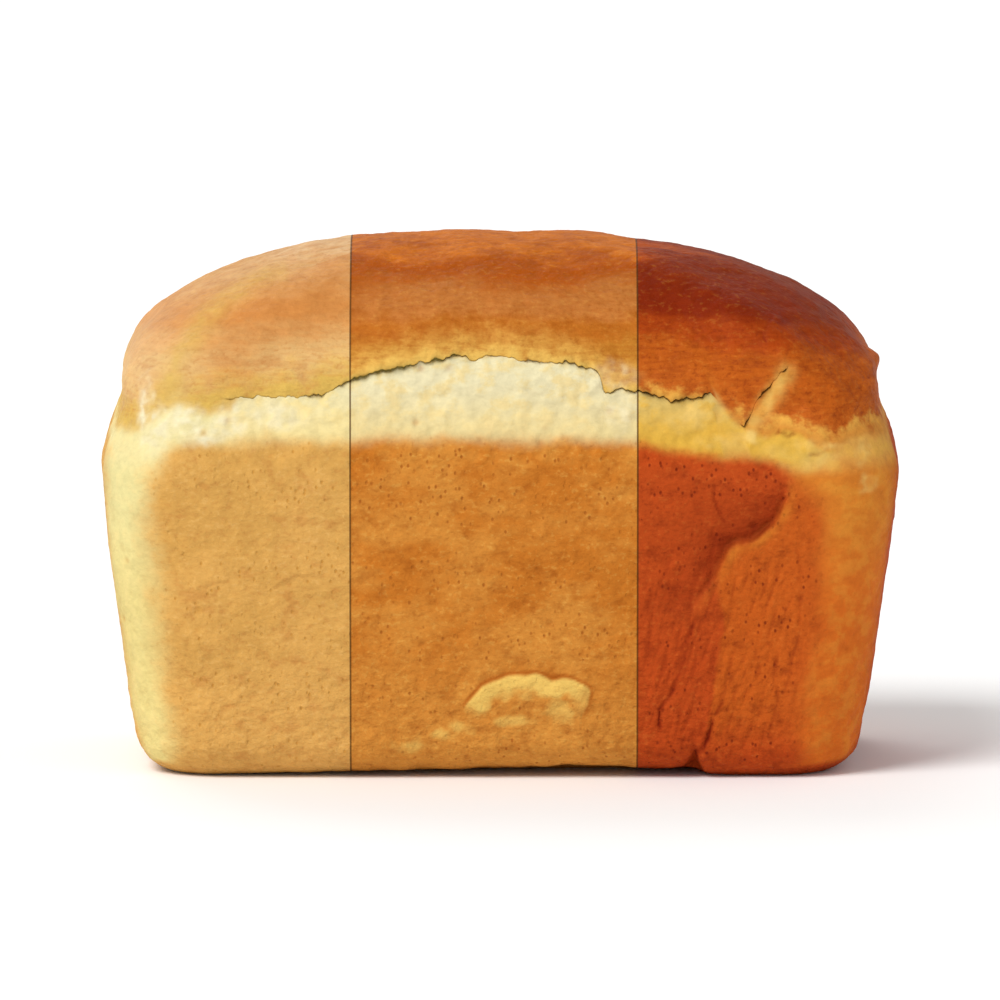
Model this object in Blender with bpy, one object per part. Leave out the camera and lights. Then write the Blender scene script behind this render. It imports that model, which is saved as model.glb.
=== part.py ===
"""Tin loaf: a large white loaf, baked in an open tin and risen well above the tin's rim.

The loaf stands on its flat base, with its long axis along X and its torn long side facing -Y.
The origin is the middle of the base. All lengths are in metres, with +Z up.

The crust is one skin, lofted through level rings from the base to the crown:
the base's rounded edge, the walls that the tin shaped, the shoulder of pale dough that tore
free above the rim, the lip of the top crust over the tear, and the dome.
"""

import math
from dataclasses import dataclass

import bmesh
import bpy

NODE_NAME = "tin_loaf"

# Overall size. The loaf is widest where the dough met the tin's rim.
LENGTH = 0.220
WIDTH = 0.122
HEIGHT = 0.146

# The part that the tin shaped.
BASE_LENGTH = 0.198
BASE_WIDTH = 0.104
RIM_HEIGHT = 0.082
BASE_EDGE_RADIUS = 0.010
CORNER_RADIUS = 0.020
WALL_CURVE = 1.35  # above 1, the walls roll upright as they near the rim
WALL_BOW = 0.0015  # how far the middle of a wall stands out from its corners

# The shoulder of torn dough, and the top crust that overhangs it.
SHOULDER_INSET = 0.0055
LIP_HEIGHT = 0.105
LIP_DEPTH = 0.0018
FRONT_OVERHANG = 0.0020  # at the middle of the front; it fades out towards the corners
BACK_OVERHANG = 0.0010
FRONT_ARCH = 0.013  # how far the tear climbs between the front's two corners
BACK_ARCH = 0.005

# The dome.
LONG_ROUNDNESS = 2.25  # exponent of its outline from the front: 2 is an ellipse, more is squarer
CROSS_ROUNDNESS = 2.0  # the same from the end
DOME_LEAN = 0.0035  # the crown sits this far towards -X
CROWN_CORNER_SHARE = 0.95  # corner radius over half-width, near the crown

# Steps of the loft.
CORNER_STEPS = 5
LONG_STEPS = 14
SHORT_STEPS = 7
EDGE_STEPS = 4
WALL_STEPS = 6
SHOULDER_STEPS = 5
DOME_STEPS = 12

# The finish: baked white bread crust.
CRUST_COLOUR = (0.610, 0.216, 0.033)  # golden brown, linear
CRUST_ROUGHNESS = 0.55
SHARP_ANGLE = math.radians(50)


@dataclass(frozen=True)
class Ring:
    """One level of the skin, a rounded rectangle whose height may follow the tear's arch."""

    height: float
    half_length: float
    half_width: float
    corner: float
    arch_share: float = 0.0
    overhang_share: float = 0.0
    lean: float = 0.0


def clear_scene():
    """Empties the scene."""
    for thing in list(bpy.data.objects):
        bpy.data.objects.remove(thing, do_unlink=True)


def ease(share):
    """Goes from 0 to 1 with no slope at either end."""
    return share * share * (3.0 - 2.0 * share)


def wall_ring(height, inset=0.0):
    """The ring where the tin's wall stands at this height, drawn in by the inset."""
    climb = 1.0 - (1.0 - min(height / RIM_HEIGHT, 1.0)) ** WALL_CURVE
    half_length = (BASE_LENGTH + (LENGTH - BASE_LENGTH) * climb) / 2 - WALL_BOW - inset
    half_width = (BASE_WIDTH + (WIDTH - BASE_WIDTH) * climb) / 2 - WALL_BOW - inset
    return Ring(height, half_length, half_width, CORNER_RADIUS)


def base_edge_rings():
    """The rings of the base's rounded edge, from the flat base to the foot of the wall."""
    rings = []
    for step in range(EDGE_STEPS):
        angle = step / EDGE_STEPS * math.pi / 2
        height = BASE_EDGE_RADIUS * (1.0 - math.cos(angle))
        rings.append(wall_ring(height, BASE_EDGE_RADIUS * (1.0 - math.sin(angle))))
    return rings


def wall_rings():
    """The rings of the walls, from the top of the base's edge to the rim."""
    rings = []
    for step in range(WALL_STEPS + 1):
        height = BASE_EDGE_RADIUS + (RIM_HEIGHT - BASE_EDGE_RADIUS) * step / WALL_STEPS
        rings.append(wall_ring(height))
    return rings


def shoulder_rings():
    """The rings of the torn dough, which leans in from the rim up to the tear."""
    rim = wall_ring(RIM_HEIGHT)
    rings = []
    for step in range(1, SHOULDER_STEPS + 1):
        share = step / SHOULDER_STEPS
        inset = SHOULDER_INSET * ease(share)
        height = RIM_HEIGHT + (LIP_HEIGHT - RIM_HEIGHT) * share
        rings.append(
            Ring(height, rim.half_length - inset, rim.half_width - inset, CORNER_RADIUS, share)
        )
    return rings


def dome_rings():
    """The rings of the dome, from the overhanging lip to the last ring round the crown."""
    rim = wall_ring(RIM_HEIGHT)
    foot = LIP_HEIGHT + LIP_DEPTH
    rings = []
    for step in range(DOME_STEPS):
        angle = step / DOME_STEPS * math.pi / 2
        climb = math.sin(angle) ** (2.0 / LONG_ROUNDNESS)
        half_length = (rim.half_length - SHOULDER_INSET) * math.cos(angle) ** (2.0 / LONG_ROUNDNESS)
        half_width = (rim.half_width - SHOULDER_INSET) * math.cos(angle) ** (2.0 / CROSS_ROUNDNESS)
        foot_share = CORNER_RADIUS / (rim.half_width - SHOULDER_INSET)
        corner_share = foot_share + (CROWN_CORNER_SHARE - foot_share) * climb
        rings.append(
            Ring(
                height=foot + (HEIGHT - foot) * climb,
                half_length=half_length,
                half_width=half_width,
                corner=half_width * corner_share,
                arch_share=1.0 - climb,
                overhang_share=1.0 - climb,
                lean=DOME_LEAN * climb,
            )
        )
    return rings


def corner_arc(quarter, centre_x, centre_y, radius):
    """The points of one rounded corner; quarter 0 is at +X +Y, and they run anticlockwise."""
    side_x = 1.0 if quarter in (0, 3) else -1.0
    side_y = 1.0 if quarter in (0, 1) else -1.0
    points = []
    for step in range(CORNER_STEPS + 1):
        angle = (quarter + step / CORNER_STEPS) * math.pi / 2
        x = side_x * centre_x + radius * math.cos(angle)
        y = side_y * centre_y + radius * math.sin(angle)
        points.append((x, y))
    return points


def points_between(start, end, steps):
    """The evenly spaced points strictly between two points."""
    points = []
    for step in range(1, steps):
        share = step / steps
        x = start[0] + (end[0] - start[0]) * share
        y = start[1] + (end[1] - start[1]) * share
        points.append((x, y))
    return points


def outline(ring):
    """The ring's rounded rectangle seen from above, before its walls bow."""
    centre_x = ring.half_length - ring.corner
    centre_y = ring.half_width - ring.corner
    arcs = [corner_arc(quarter, centre_x, centre_y, ring.corner) for quarter in range(4)]
    points = []
    for quarter, arc in enumerate(arcs):
        steps = SHORT_STEPS if quarter % 2 else LONG_STEPS
        points += arc
        points += points_between(arc[-1], arcs[(quarter + 1) % 4][0], steps)
    return points


def place(ring, x, y):
    """A point of the ring in space, with its bow, the lip's arch and overhang, and the lean."""
    along = x / ring.half_length
    across = y / ring.half_width
    front_share = 0.5 - across / 2
    bow = WALL_BOW * min(ring.half_width / (WIDTH / 2), 1.0)
    overhang = BACK_OVERHANG + (FRONT_OVERHANG - BACK_OVERHANG) * front_share
    arch = (BACK_ARCH + (FRONT_ARCH - BACK_ARCH) * front_share) * (1.0 - along**2) ** 2
    return (
        x + along * bow * (1.0 - across**2) - ring.lean,
        y + across * (bow + overhang * ring.overhang_share) * (1.0 - along**2),
        ring.height + arch * ring.arch_share,
    )


def add_ring(bm, ring):
    """Adds the ring's points to the mesh and returns them in order."""
    return [bm.verts.new(place(ring, x, y)) for x, y in outline(ring)]


def join_rings(bm, lower, upper):
    """Fills the band between two rings with faces that look outwards."""
    count = len(lower)
    for index in range(count):
        following = (index + 1) % count
        bm.faces.new((lower[index], lower[following], upper[following], upper[index]))


def close_crown(bm, ring):
    """Closes the top with a fan of faces round the crown's highest point."""
    crown = bm.verts.new((-DOME_LEAN, 0.0, HEIGHT))
    for index, corner in enumerate(ring):
        bm.faces.new((corner, ring[(index + 1) % len(ring)], crown))


def build_skin():
    """The loaf's closed skin as a mesh."""
    bm = bmesh.new()
    levels = base_edge_rings() + wall_rings() + shoulder_rings() + dome_rings()
    rings = [add_ring(bm, level) for level in levels]
    for lower, upper in zip(rings, rings[1:]):
        join_rings(bm, lower, upper)
    bm.faces.new(reversed(rings[0]))
    close_crown(bm, rings[-1])
    mesh = bpy.data.meshes.new(NODE_NAME)
    bm.to_mesh(mesh)
    bm.free()
    mesh.shade_smooth()
    mesh.set_sharp_from_angle(angle=SHARP_ANGLE)
    return mesh


def crust_material():
    """Golden-brown bread crust, dry and only faintly glossy."""
    material = bpy.data.materials.new("bread_crust")
    material.use_nodes = True
    shader = material.node_tree.nodes["Principled BSDF"]
    shader.inputs["Base Color"].default_value = (*CRUST_COLOUR, 1.0)
    shader.inputs["Roughness"].default_value = CRUST_ROUGHNESS
    shader.inputs["Metallic"].default_value = 0.0
    return material


def main():
    """Models the loaf."""
    clear_scene()
    loaf = bpy.data.objects.new(NODE_NAME, build_skin())
    loaf.data.materials.append(crust_material())
    bpy.context.scene.collection.objects.link(loaf)


main()
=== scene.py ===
"""Tin loaf: the looks of a large white loaf, baked in an open tin and risen well above its rim.

The loaf is one piece, so it is one skin. TinLoaf draws the skin's plain form inside the frame's
box, as the tin and the oven shape it. Each mark of the bake is then a small class that moves the
skin's points and notes where it is: the tear under the top crust, the folds where the dough was
shaped, the blister, the pits, the hem of the base. CrustFinish turns those notes into the colours
of three bakes, light, medium and dark. All lengths are in metres unless a name says otherwise.
"""

import logging
import math
from abc import ABC, abstractmethod
from dataclasses import dataclass, field
from enum import Enum

import bpy
import numpy as np
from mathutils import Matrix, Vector


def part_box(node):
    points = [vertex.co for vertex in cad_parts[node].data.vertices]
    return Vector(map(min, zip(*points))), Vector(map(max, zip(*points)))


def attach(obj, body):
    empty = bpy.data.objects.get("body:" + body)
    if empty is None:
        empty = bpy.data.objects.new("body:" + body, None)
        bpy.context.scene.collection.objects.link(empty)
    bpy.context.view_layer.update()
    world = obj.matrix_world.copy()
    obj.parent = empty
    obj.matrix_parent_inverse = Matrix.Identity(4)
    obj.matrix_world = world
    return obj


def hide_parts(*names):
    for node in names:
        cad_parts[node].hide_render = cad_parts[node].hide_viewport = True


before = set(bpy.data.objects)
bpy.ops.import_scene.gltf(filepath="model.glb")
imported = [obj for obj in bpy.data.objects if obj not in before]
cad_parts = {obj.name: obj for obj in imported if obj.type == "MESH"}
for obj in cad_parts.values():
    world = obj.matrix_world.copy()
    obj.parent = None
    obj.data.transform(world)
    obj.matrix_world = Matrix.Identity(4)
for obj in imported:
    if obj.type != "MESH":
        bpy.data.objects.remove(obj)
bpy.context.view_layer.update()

NODE = "tin_loaf"
BODY = "root"
MM = 0.001
FRONT, RIGHT, BACK, LEFT = range(4)  # the four walls, anticlockwise from above
WALL_FACING = (0.2, 0.6)  # how squarely a point faces a wall when it starts, and ends, to count
TINY = 1e-9  # keeps a division by nothing away

Array = np.ndarray
Pair = tuple[float, float]
Triple = tuple[float, float, float]
Table = tuple[Pair, ...]
log = logging.getLogger("tin_loaf")


def ease(low: float | Array, high: float | Array, value: Array) -> Array:
    """Goes smoothly from 0 to 1 as a value goes from low to high.

    Args:
        low: the value where the result is 0.
        high: the value where the result is 1.
        value: the values to ease.

    Returns:
        The eased shares, with no slope at either end.
    """
    share = np.clip((value - low) / (high - low), 0.0, 1.0)
    return share * share * (3.0 - 2.0 * share)


def linear(hex_code: str) -> tuple[float, float, float, float]:
    """Turns an sRGB hex colour into the linear colour that a shader takes.

    Args:
        hex_code: the colour, such as "#cd8033".

    Returns:
        Its linear red, green, blue and alpha.
    """
    channels = [int(hex_code[start : start + 2], 16) / 255 for start in (1, 3, 5)]
    red, green, blue = (
        value / 12.92 if value <= 0.04045 else ((value + 0.055) / 1.055) ** 2.4
        for value in channels
    )
    return red, green, blue, 1.0


class DoughNoise:
    """Smooth gradient noise in space, the same on every run.

    Attributes:
        table_size: how many slopes the noise draws from.
        gain: brings the noise to values mostly between -1 and 1.
        layer_shift: how far each layer's pattern is moved from the last one's.
        layer_gain: brings layered noise back to that range.
        size_mix: turns a spot's slope into its size.
    """

    table_size = 256
    gain = 1.8
    layer_shift = 0.37
    layer_gain = 1.5
    size_mix = 7.3

    def __init__(self, seed: int) -> None:
        """Draws the table of slopes.

        Args:
            seed: which noise this is.
        """
        rng = np.random.default_rng(seed)
        slopes = rng.normal(size=(self.table_size, 3))
        self.slopes = slopes / np.linalg.norm(slopes, axis=1, keepdims=True)
        self.order = rng.permutation(self.table_size)

    def corner_slope(self, cell: Array) -> Array:
        """Finds the slope at each cell corner.

        Args:
            cell: the corners, as whole numbers along X, Y and Z.

        Returns:
            One slope for each corner.
        """
        key = self.order[cell[:, 0] % self.table_size]
        key = self.order[(key + cell[:, 1]) % self.table_size]
        return self.slopes[(key + cell[:, 2]) % self.table_size]

    def at(self, points: Array, grain: float | Triple) -> Array:
        """The noise at some points.

        Args:
            points: where to read it.
            grain: the size of its lumps, or their size along X, Y and Z.

        Returns:
            Values mostly between -1 and 1.
        """
        places = points / np.asarray(grain)
        cell = np.floor(places).astype(np.int64)
        inside = places - cell
        blend = inside**3 * (inside * (inside * 6.0 - 15.0) + 10.0)
        total = np.zeros(len(points))
        for step in np.ndindex(2, 2, 2):
            weight = np.prod(np.where(step, blend, 1.0 - blend), axis=1)
            slope = self.corner_slope(cell + step)
            total += weight * np.einsum("ij,ij->i", inside - step, slope)
        return total * self.gain

    def layered(self, points: Array, grain: float, layers: int) -> Array:
        """The noise with finer and finer lumps on it.

        Args:
            points: where to read it.
            grain: the size of the largest lumps.
            layers: how many sizes, each half the last and half as strong.

        Returns:
            Values mostly between -1 and 1.
        """
        total = np.zeros(len(points))
        for layer in range(layers):
            total += self.at(points + layer * self.layer_shift, grain / 2**layer) / 2**layer
        return total / self.layer_gain

    def scatter(self, points: Array, spacing: float) -> tuple[Array, Array]:
        """Finds the nearest of many spots strewn at random.

        Args:
            points: where to look from.
            spacing: how far apart the spots are on average.

        Returns:
            The distance to the nearest spot, and that spot's own size from 0 to 1.
        """
        cell = np.floor(points / spacing).astype(np.int64)
        nearest = np.full(len(points), np.inf)
        size = np.zeros(len(points))
        for step in np.ndindex(3, 3, 3):
            around = cell + step - 1
            slope = self.corner_slope(around)
            spot = (around + 0.5 + 0.5 * slope) * spacing
            gap = np.linalg.norm(points - spot, axis=1)
            closer = gap < nearest
            nearest = np.where(closer, gap, nearest)
            size = np.where(closer, np.abs(slope[:, 0] * self.size_mix) % 1.0, size)
        return nearest, size


def bell(distance: Array, width: float | Array) -> Array:
    """Goes from 1 at no distance to nothing a few widths away."""
    return np.exp(-((distance / width) ** 2))


def read_table(table: Table, place: Array) -> Array:
    """Reads a table of places and values, straight between its rows."""
    return np.interp(place, *np.transpose(table))


def metres(sizes: Triple) -> Triple:
    """Turns sizes in millimetres into metres."""
    return tuple(size * MM for size in sizes)


@dataclass(frozen=True)
class Route:
    """A line drawn on the front wall, through points of X and Z in millimetres."""

    points: Table

    def measure(self, x: Array, z: Array) -> tuple[Array, Array]:
        """Measures places on the wall from the line.

        Args:
            x: where the places are along the wall, in millimetres.
            z: how high they are, in millimetres.

        Returns:
            Each place's distance, which is positive on the left of the way along the line,
            and the share of the way where the line comes nearest to it.
        """
        corners = np.array(self.points)
        steps = np.diff(corners, axis=0)
        lengths = np.linalg.norm(steps, axis=1)
        starts = np.concatenate([[0.0], np.cumsum(lengths)[:-1]])
        nearest = np.full(x.shape, np.inf)
        signed = np.zeros(x.shape)
        along = np.zeros(x.shape)
        for corner, step, length, start in zip(corners, steps, lengths, starts):
            right, up = x - corner[0], z - corner[1]
            share = np.clip((right * step[0] + up * step[1]) / length**2, 0.0, 1.0)
            gap = np.hypot(right - share * step[0], up - share * step[1])
            side = np.sign(step[0] * up - step[1] * right)
            closer = gap < nearest
            nearest = np.where(closer, gap, nearest)
            signed = np.where(closer, gap * side, signed)
            along = np.where(closer, (start + share * length) / lengths.sum(), along)
        return signed, along


@dataclass
class Skin:
    """The loaf's skin while it is being shaped.

    Attributes:
        points: each point's place.
        faces: the four points of each face.
        maps: each face corner's place on the flat map of the skin.
        normals: each point's outward direction, before the marks of the bake.
        notes: what the form knows about each point: its wall, and where it is from the tear.
        lift: how far the marks of the bake move each point outwards.
        marks: for each mark of the bake, how strong it is at each point.
    """

    points: Array
    faces: Array
    maps: Array
    normals: Array
    notes: dict[str, Array]
    lift: Array = field(init=False)
    marks: dict[str, Array] = field(init=False)

    def __post_init__(self) -> None:
        """Starts with no lift and no marks."""
        self.lift = np.zeros(len(self.points))
        self.marks = {}

    def on_wall(self, wall: int) -> tuple[Array, Array, Array]:
        """Sees the skin from straight in front of one wall.

        Args:
            wall: the wall.

        Returns:
            Each point's place along the wall and its height, in millimetres, and how far it
            belongs to that wall and the crust over it.
        """
        x, y, z = self.millimetres()
        across = (x, y, -x, -y)[wall]
        axis, side = ((1, -1.0), (0, 1.0), (1, 1.0), (0, -1.0))[wall]
        return across, z, ease(*WALL_FACING, side * self.normals[:, axis])

    def millimetres(self) -> tuple[Array, Array, Array]:
        """Each point's X, Y and Z in millimetres."""
        return self.points[:, 0] / MM, self.points[:, 1] / MM, self.points[:, 2] / MM

    def away_from(self, middle: Triple, size: float | Triple) -> Array:
        """How many sizes away from a middle each point is, both in millimetres."""
        places = np.stack(self.millimetres(), axis=-1)
        return np.linalg.norm((places - middle) / np.array(size), axis=1)

    def add_mark(self, name: str, strength: Array, where: Array | None = None) -> None:
        """Strengthens a mark.

        Args:
            name: the mark.
            strength: its strength at each point; the stronger of this and the old one stays.
            where: the numbers of those points, if they are not all the skin's points.
        """
        marked = self.marks.setdefault(name, np.zeros(len(self.points)))
        chosen = slice(None) if where is None else where
        marked[chosen] = np.maximum(marked[chosen], strength)

    def move(self) -> None:
        """Moves each point by its lift."""
        self.points = self.points + self.normals * self.lift[:, None]

    def fit(self, low: Vector, high: Vector) -> None:
        """Stretches the skin by a hair, so that it fills a box exactly.

        Args:
            low: the box's lowest corner.
            high: its highest corner.
        """
        lowest, highest = self.points.min(axis=0), self.points.max(axis=0)
        share = (self.points - lowest) / (highest - lowest)
        self.points = np.array(low) + share * (np.array(high) - np.array(low))

    def to_mesh(self, name: str) -> bpy.types.Mesh:
        """Writes the skin as a mesh with its flat map and its marks.

        Args:
            name: the mesh's name.

        Returns:
            The mesh, shaded smooth.
        """
        mesh = bpy.data.meshes.new(name)
        mesh.vertices.add(len(self.points))
        mesh.vertices.foreach_set("co", self.points.astype(np.float32).ravel())
        mesh.loops.add(self.faces.size)
        mesh.loops.foreach_set("vertex_index", self.faces.astype(np.int32).ravel())
        mesh.polygons.add(len(self.faces))
        mesh.polygons.foreach_set("loop_start", np.arange(0, self.faces.size, 4, dtype=np.int32))
        mesh.update(calc_edges=True)
        mesh.shade_smooth()
        flat_map = mesh.uv_layers.new(name="OFBake")
        flat_map.uv.foreach_set("vector", self.maps.astype(np.float32).ravel())
        for mark, strength in self.marks.items():
            attribute = mesh.attributes.new(mark, "FLOAT", "POINT")
            attribute.data.foreach_set("value", strength.astype(np.float32))
        return mesh


@dataclass(frozen=True)
class Tear:
    """The tear along the front, where the top crust lifted off the shoulder as the loaf sprang.

    The tables give, for places along X in millimetres, the tear's height and gap in millimetres,
    and whether the top crust ends there at a sharp tear, or fades into the shoulder. The grains
    give heights and sizes in millimetres.
    """

    front_route: Table = (
        (-110.0, 104.0), (-92.0, 103.0), (-82.0, 104.5), (-74.0, 105.8), (-63.5, 106.4),
        (-54.0, 106.4), (-49.0, 107.0), (-41.5, 110.8), (-34.0, 113.0), (-24.5, 115.2),
        (-12.0, 118.0), (-8.0, 116.8), (0.5, 117.4), (8.0, 116.3), (20.5, 115.5),
        (26.8, 113.6), (27.4, 112.2), (28.4, 107.6), (33.5, 108.6), (38.7, 107.8),
        (46.7, 105.3), (58.5, 106.9), (62.9, 100.3), (65.9, 98.5), (68.0, 102.0),
        (72.5, 108.0), (76.5, 111.5), (80.7, 114.6), (86.0, 111.5), (96.0, 105.0),
        (110.0, 105.0),
    )
    front_gap: Table = (
        (-76.0, 0.0), (-74.5, 0.3), (-72.5, 0.05), (-56.0, 0.05), (-53.0, 0.3), (-49.5, 0.3),
        (-46.5, 0.05), (-43.0, 0.5), (-40.0, 0.75), (-34.0, 0.9), (-27.0, 0.7), (-24.0, 0.4),
        (-20.0, 0.6), (-12.0, 0.7), (-8.0, 0.15), (-2.0, 0.1), (4.0, 0.2), (12.0, 0.12),
        (22.0, 0.35), (27.0, 0.5), (28.5, 0.1), (33.0, 0.4), (38.0, 0.4), (47.0, 0.6),
        (57.0, 0.5), (59.0, 0.0), (65.0, 0.0), (66.5, 0.4), (68.5, 0.15), (70.0, 0.15),
        (71.0, 0.45), (73.5, 0.4), (75.0, 0.1), (78.0, 0.1), (79.0, 0.3), (80.5, 0.0),
    )
    front_sharp: Table = (
        (-78.0, 0.0), (-75.0, 1.0), (58.3, 1.0), (60.3, 0.0), (64.8, 0.0), (66.0, 1.0),
        (80.0, 1.0), (82.0, 0.0),
    )
    end_height: float = 104.5
    back_arch: float = 5.0
    back_gap: float = 0.25
    depth: float = 0.8 * MM
    grains: Table = ((0.6, 5.0), (0.5, 2.1), (0.5, 1.1))
    gap_grain: Pair = (1.1, 3.1)
    full_gap: float = 0.5
    back_reach: Pair = (0.75, 0.45)
    back_raggedness: float = 0.6
    back_overhang: float = 0.5
    least_lift: float = 0.12
    overhang: float = 1.1 * MM
    overhang_reach: float = 12.0 * MM
    ragged_reach: float = 1.2 * MM
    smooth_over: float = 8.0 * MM
    course_over: float = 1.8 * MM

    # The lines along the tear: how far above the tear each one lies where the tear is shut and
    # where it gapes, in millimetres, its depth in the gap and its share of the overhang.
    shut_heights: tuple[float, ...] = (-1.2, -0.6, -0.25, 0.0, 0.2, 0.4, 0.6, 0.9, 1.4, 2.2)
    open_heights: tuple[float, ...] = (-1.6, -0.9, -0.5, -0.1, 0.45, 0.6, 0.42, 0.7, 1.3, 2.2)
    gap_shares: tuple[float, ...] = (0.0, 0.03, 0.2, 1.0, 0.9, 0.35, 0.05, 0.0, 0.0, 0.0)
    lip_shares: tuple[float, ...] = (0.0, 0.0, 0.0, 0.0, 0.1, 0.7, 0.95, 1.05, 1.03, 1.0)
    lines_below: int = 4


@dataclass
class Columns:
    """The skin's columns, which run up the walls side by side, anticlockwise.

    Attributes:
        wall: the wall of each column.
        place: how far along its wall each column is, from -1 to 1.
        tear: the height of the tear at each column.
        course: the same without its raggedness.
        lip: the smoothed height of the tear, which the dome's foot follows.
        gap: how far the tear gapes there, as a share of a fully open tear.
        width: the width of the gap, in millimetres.
        overhang: how far the top crust stands out there.
        sharp: 1 where the top crust ends at a tear, 0 where it fades into the shoulder.
    """

    wall: Array
    place: Array
    tear: Array
    course: Array
    lip: Array
    gap: Array
    width: Array
    overhang: Array
    sharp: Array


class BakeMark(ABC):
    """One mark that the tin, the dough or the oven left on the skin."""

    @abstractmethod
    def press(self, skin: Skin, noise: DoughNoise) -> None:
        """Moves the skin and notes where the mark is.

        Args:
            skin: the skin to mark.
            noise: the unevenness of the dough.
        """


@dataclass(frozen=True)
class TinFaces(BakeMark):
    """The patches that browned against the tin: one on each wall, and the whole base.

    Sizes are in millimetres. The corners between the patches stay pale: partly because they drew
    away from the tin, partly as a painted highlight where the side light falls.
    """

    top: float = 93.6
    front_top: Table = (
        (-96.0, 91.5), (-80.0, 93.2), (-60.0, 93.6), (26.0, 93.6), (37.9, 92.4), (48.4, 91.3),
        (60.7, 90.3), (75.8, 88.6), (90.0, 86.0),
    )
    left: float = -98.5
    right: float = 90.0
    end_reach: float = 44.0
    taper: float = 11.0
    rounding: float = 17.0
    top_softness: float = 4.4
    side_softness: float = 9.0
    softens: Pair = (-12.0, 6.0)
    wander: float = 4.0
    wander_size: float = 17.0
    side_wander: float = 0.9
    top_wander: float = 0.5
    underneath: Pair = (0.6, 0.9)
    roughens: Pair = (40.0, 5.0)
    roughening: float = 1.2
    dent: Pair = (0.45, 30.0)
    ripple: Pair = (0.2, 7.0)
    pebble: Pair = (0.11, 2.4)

    def press(self, skin: Skin, noise: DoughNoise) -> None:
        """Browns the patches and gives them the tin's slight unevenness.

        Args:
            skin: the skin to mark.
            noise: the unevenness of the dough.
        """
        x, y, z = skin.millimetres()
        on_end = skin.notes["wall"] % 2 == 1
        wander = self.wander * noise.layered(skin.points, self.wander_size * MM, 4)
        middle = np.where(on_end, 0.0, (self.left + self.right) / 2)
        reach = np.where(on_end, self.end_reach, (self.right - self.left) / 2)
        reach = reach - self.taper * (1.0 - z / self.top)
        beside = np.abs(np.where(on_end, y, x) - middle) - reach + self.side_wander * wander
        top = np.where(skin.notes["wall"] == FRONT, read_table(self.front_top, x), self.top)
        above = z - top + self.top_wander * wander
        softer = ease(*self.softens, beside - above)
        softness = self.top_softness + (self.side_softness - self.top_softness) * softer
        near_side = np.maximum(beside + self.rounding, 0.0)
        near_top = np.maximum(above + self.rounding, 0.0)
        gap = np.hypot(near_side, near_top) - self.rounding
        gap += np.minimum(np.maximum(beside, above) + self.rounding, 0.0)
        underneath = ease(*self.underneath, -skin.normals[:, 2])
        tin = np.maximum(ease(softness, -softness, gap), underneath)
        skin.add_mark("tin", tin)
        rougher = 1.0 + self.roughening * ease(*self.roughens, z)
        for (height, size), share in (
            (self.dent, 1.0), (self.ripple, rougher), (self.pebble, rougher),
        ):
            uneven = share * height * noise.at(skin.points, size * MM)
            skin.lift += uneven * MM * (1.0 - underneath)


@dataclass(frozen=True)
class TornDough(BakeMark):
    """The pale dough below the tear, stretched into lumps and short strands as it tore.

    Sizes are in millimetres.
    """

    foot: float = 84.0
    full: float = 92.0
    fade: float = 5.0
    grains: tuple[tuple[float, Triple], ...] = (
        (0.5, (3.4, 3.4, 3.4)), (0.2, (6.5, 6.5, 2.0)), (0.1, (1.5, 1.5, 1.5)),
    )
    swell: float = 0.7
    swell_below: float = 5.0
    swell_reach: float = 4.0
    where_shut: float = 0.3
    right_share: float = 0.9
    right_end: Pair = (101.0, 84.0)
    right_start: Pair = (0.0, 30.0)
    patch_size: float = 5.0
    patch_share: float = 0.25
    patch_edge: Pair = (-0.3, 0.2)

    def press(self, skin: Skin, noise: DoughNoise) -> None:
        """Roughens the torn dough.

        Args:
            skin: the skin to mark.
            noise: the unevenness of the dough.
        """
        points, notes = skin.points, skin.notes
        height = points[:, 2] / MM
        rise = height - notes["course"] / MM
        over = notes["above"] * np.maximum(notes["sharp"], ease(0.0, self.fade, rise))
        below = (1.0 - over) * ease(self.foot, self.full, height)
        x = points[:, 0] / MM
        stretched = self.right_share * ease(*self.right_end, x) * ease(*self.right_start, x)
        stretched *= notes["wall"] == FRONT
        patches = ease(*self.patch_edge, noise.at(points, self.patch_size * MM))
        stretched *= 1.0 - self.patch_share + self.patch_share * patches
        at_tear = self.where_shut + (1.0 - self.where_shut) * notes["sharp"]
        torn = below * np.maximum(at_tear, stretched)
        rough = sum(high * noise.at(points, metres(size)) for high, size in self.grains)
        rough += self.swell * bell(rise + self.swell_below, self.swell_reach) * notes["sharp"]
        skin.lift += torn * rough * MM
        skin.add_mark("torn", torn)


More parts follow.
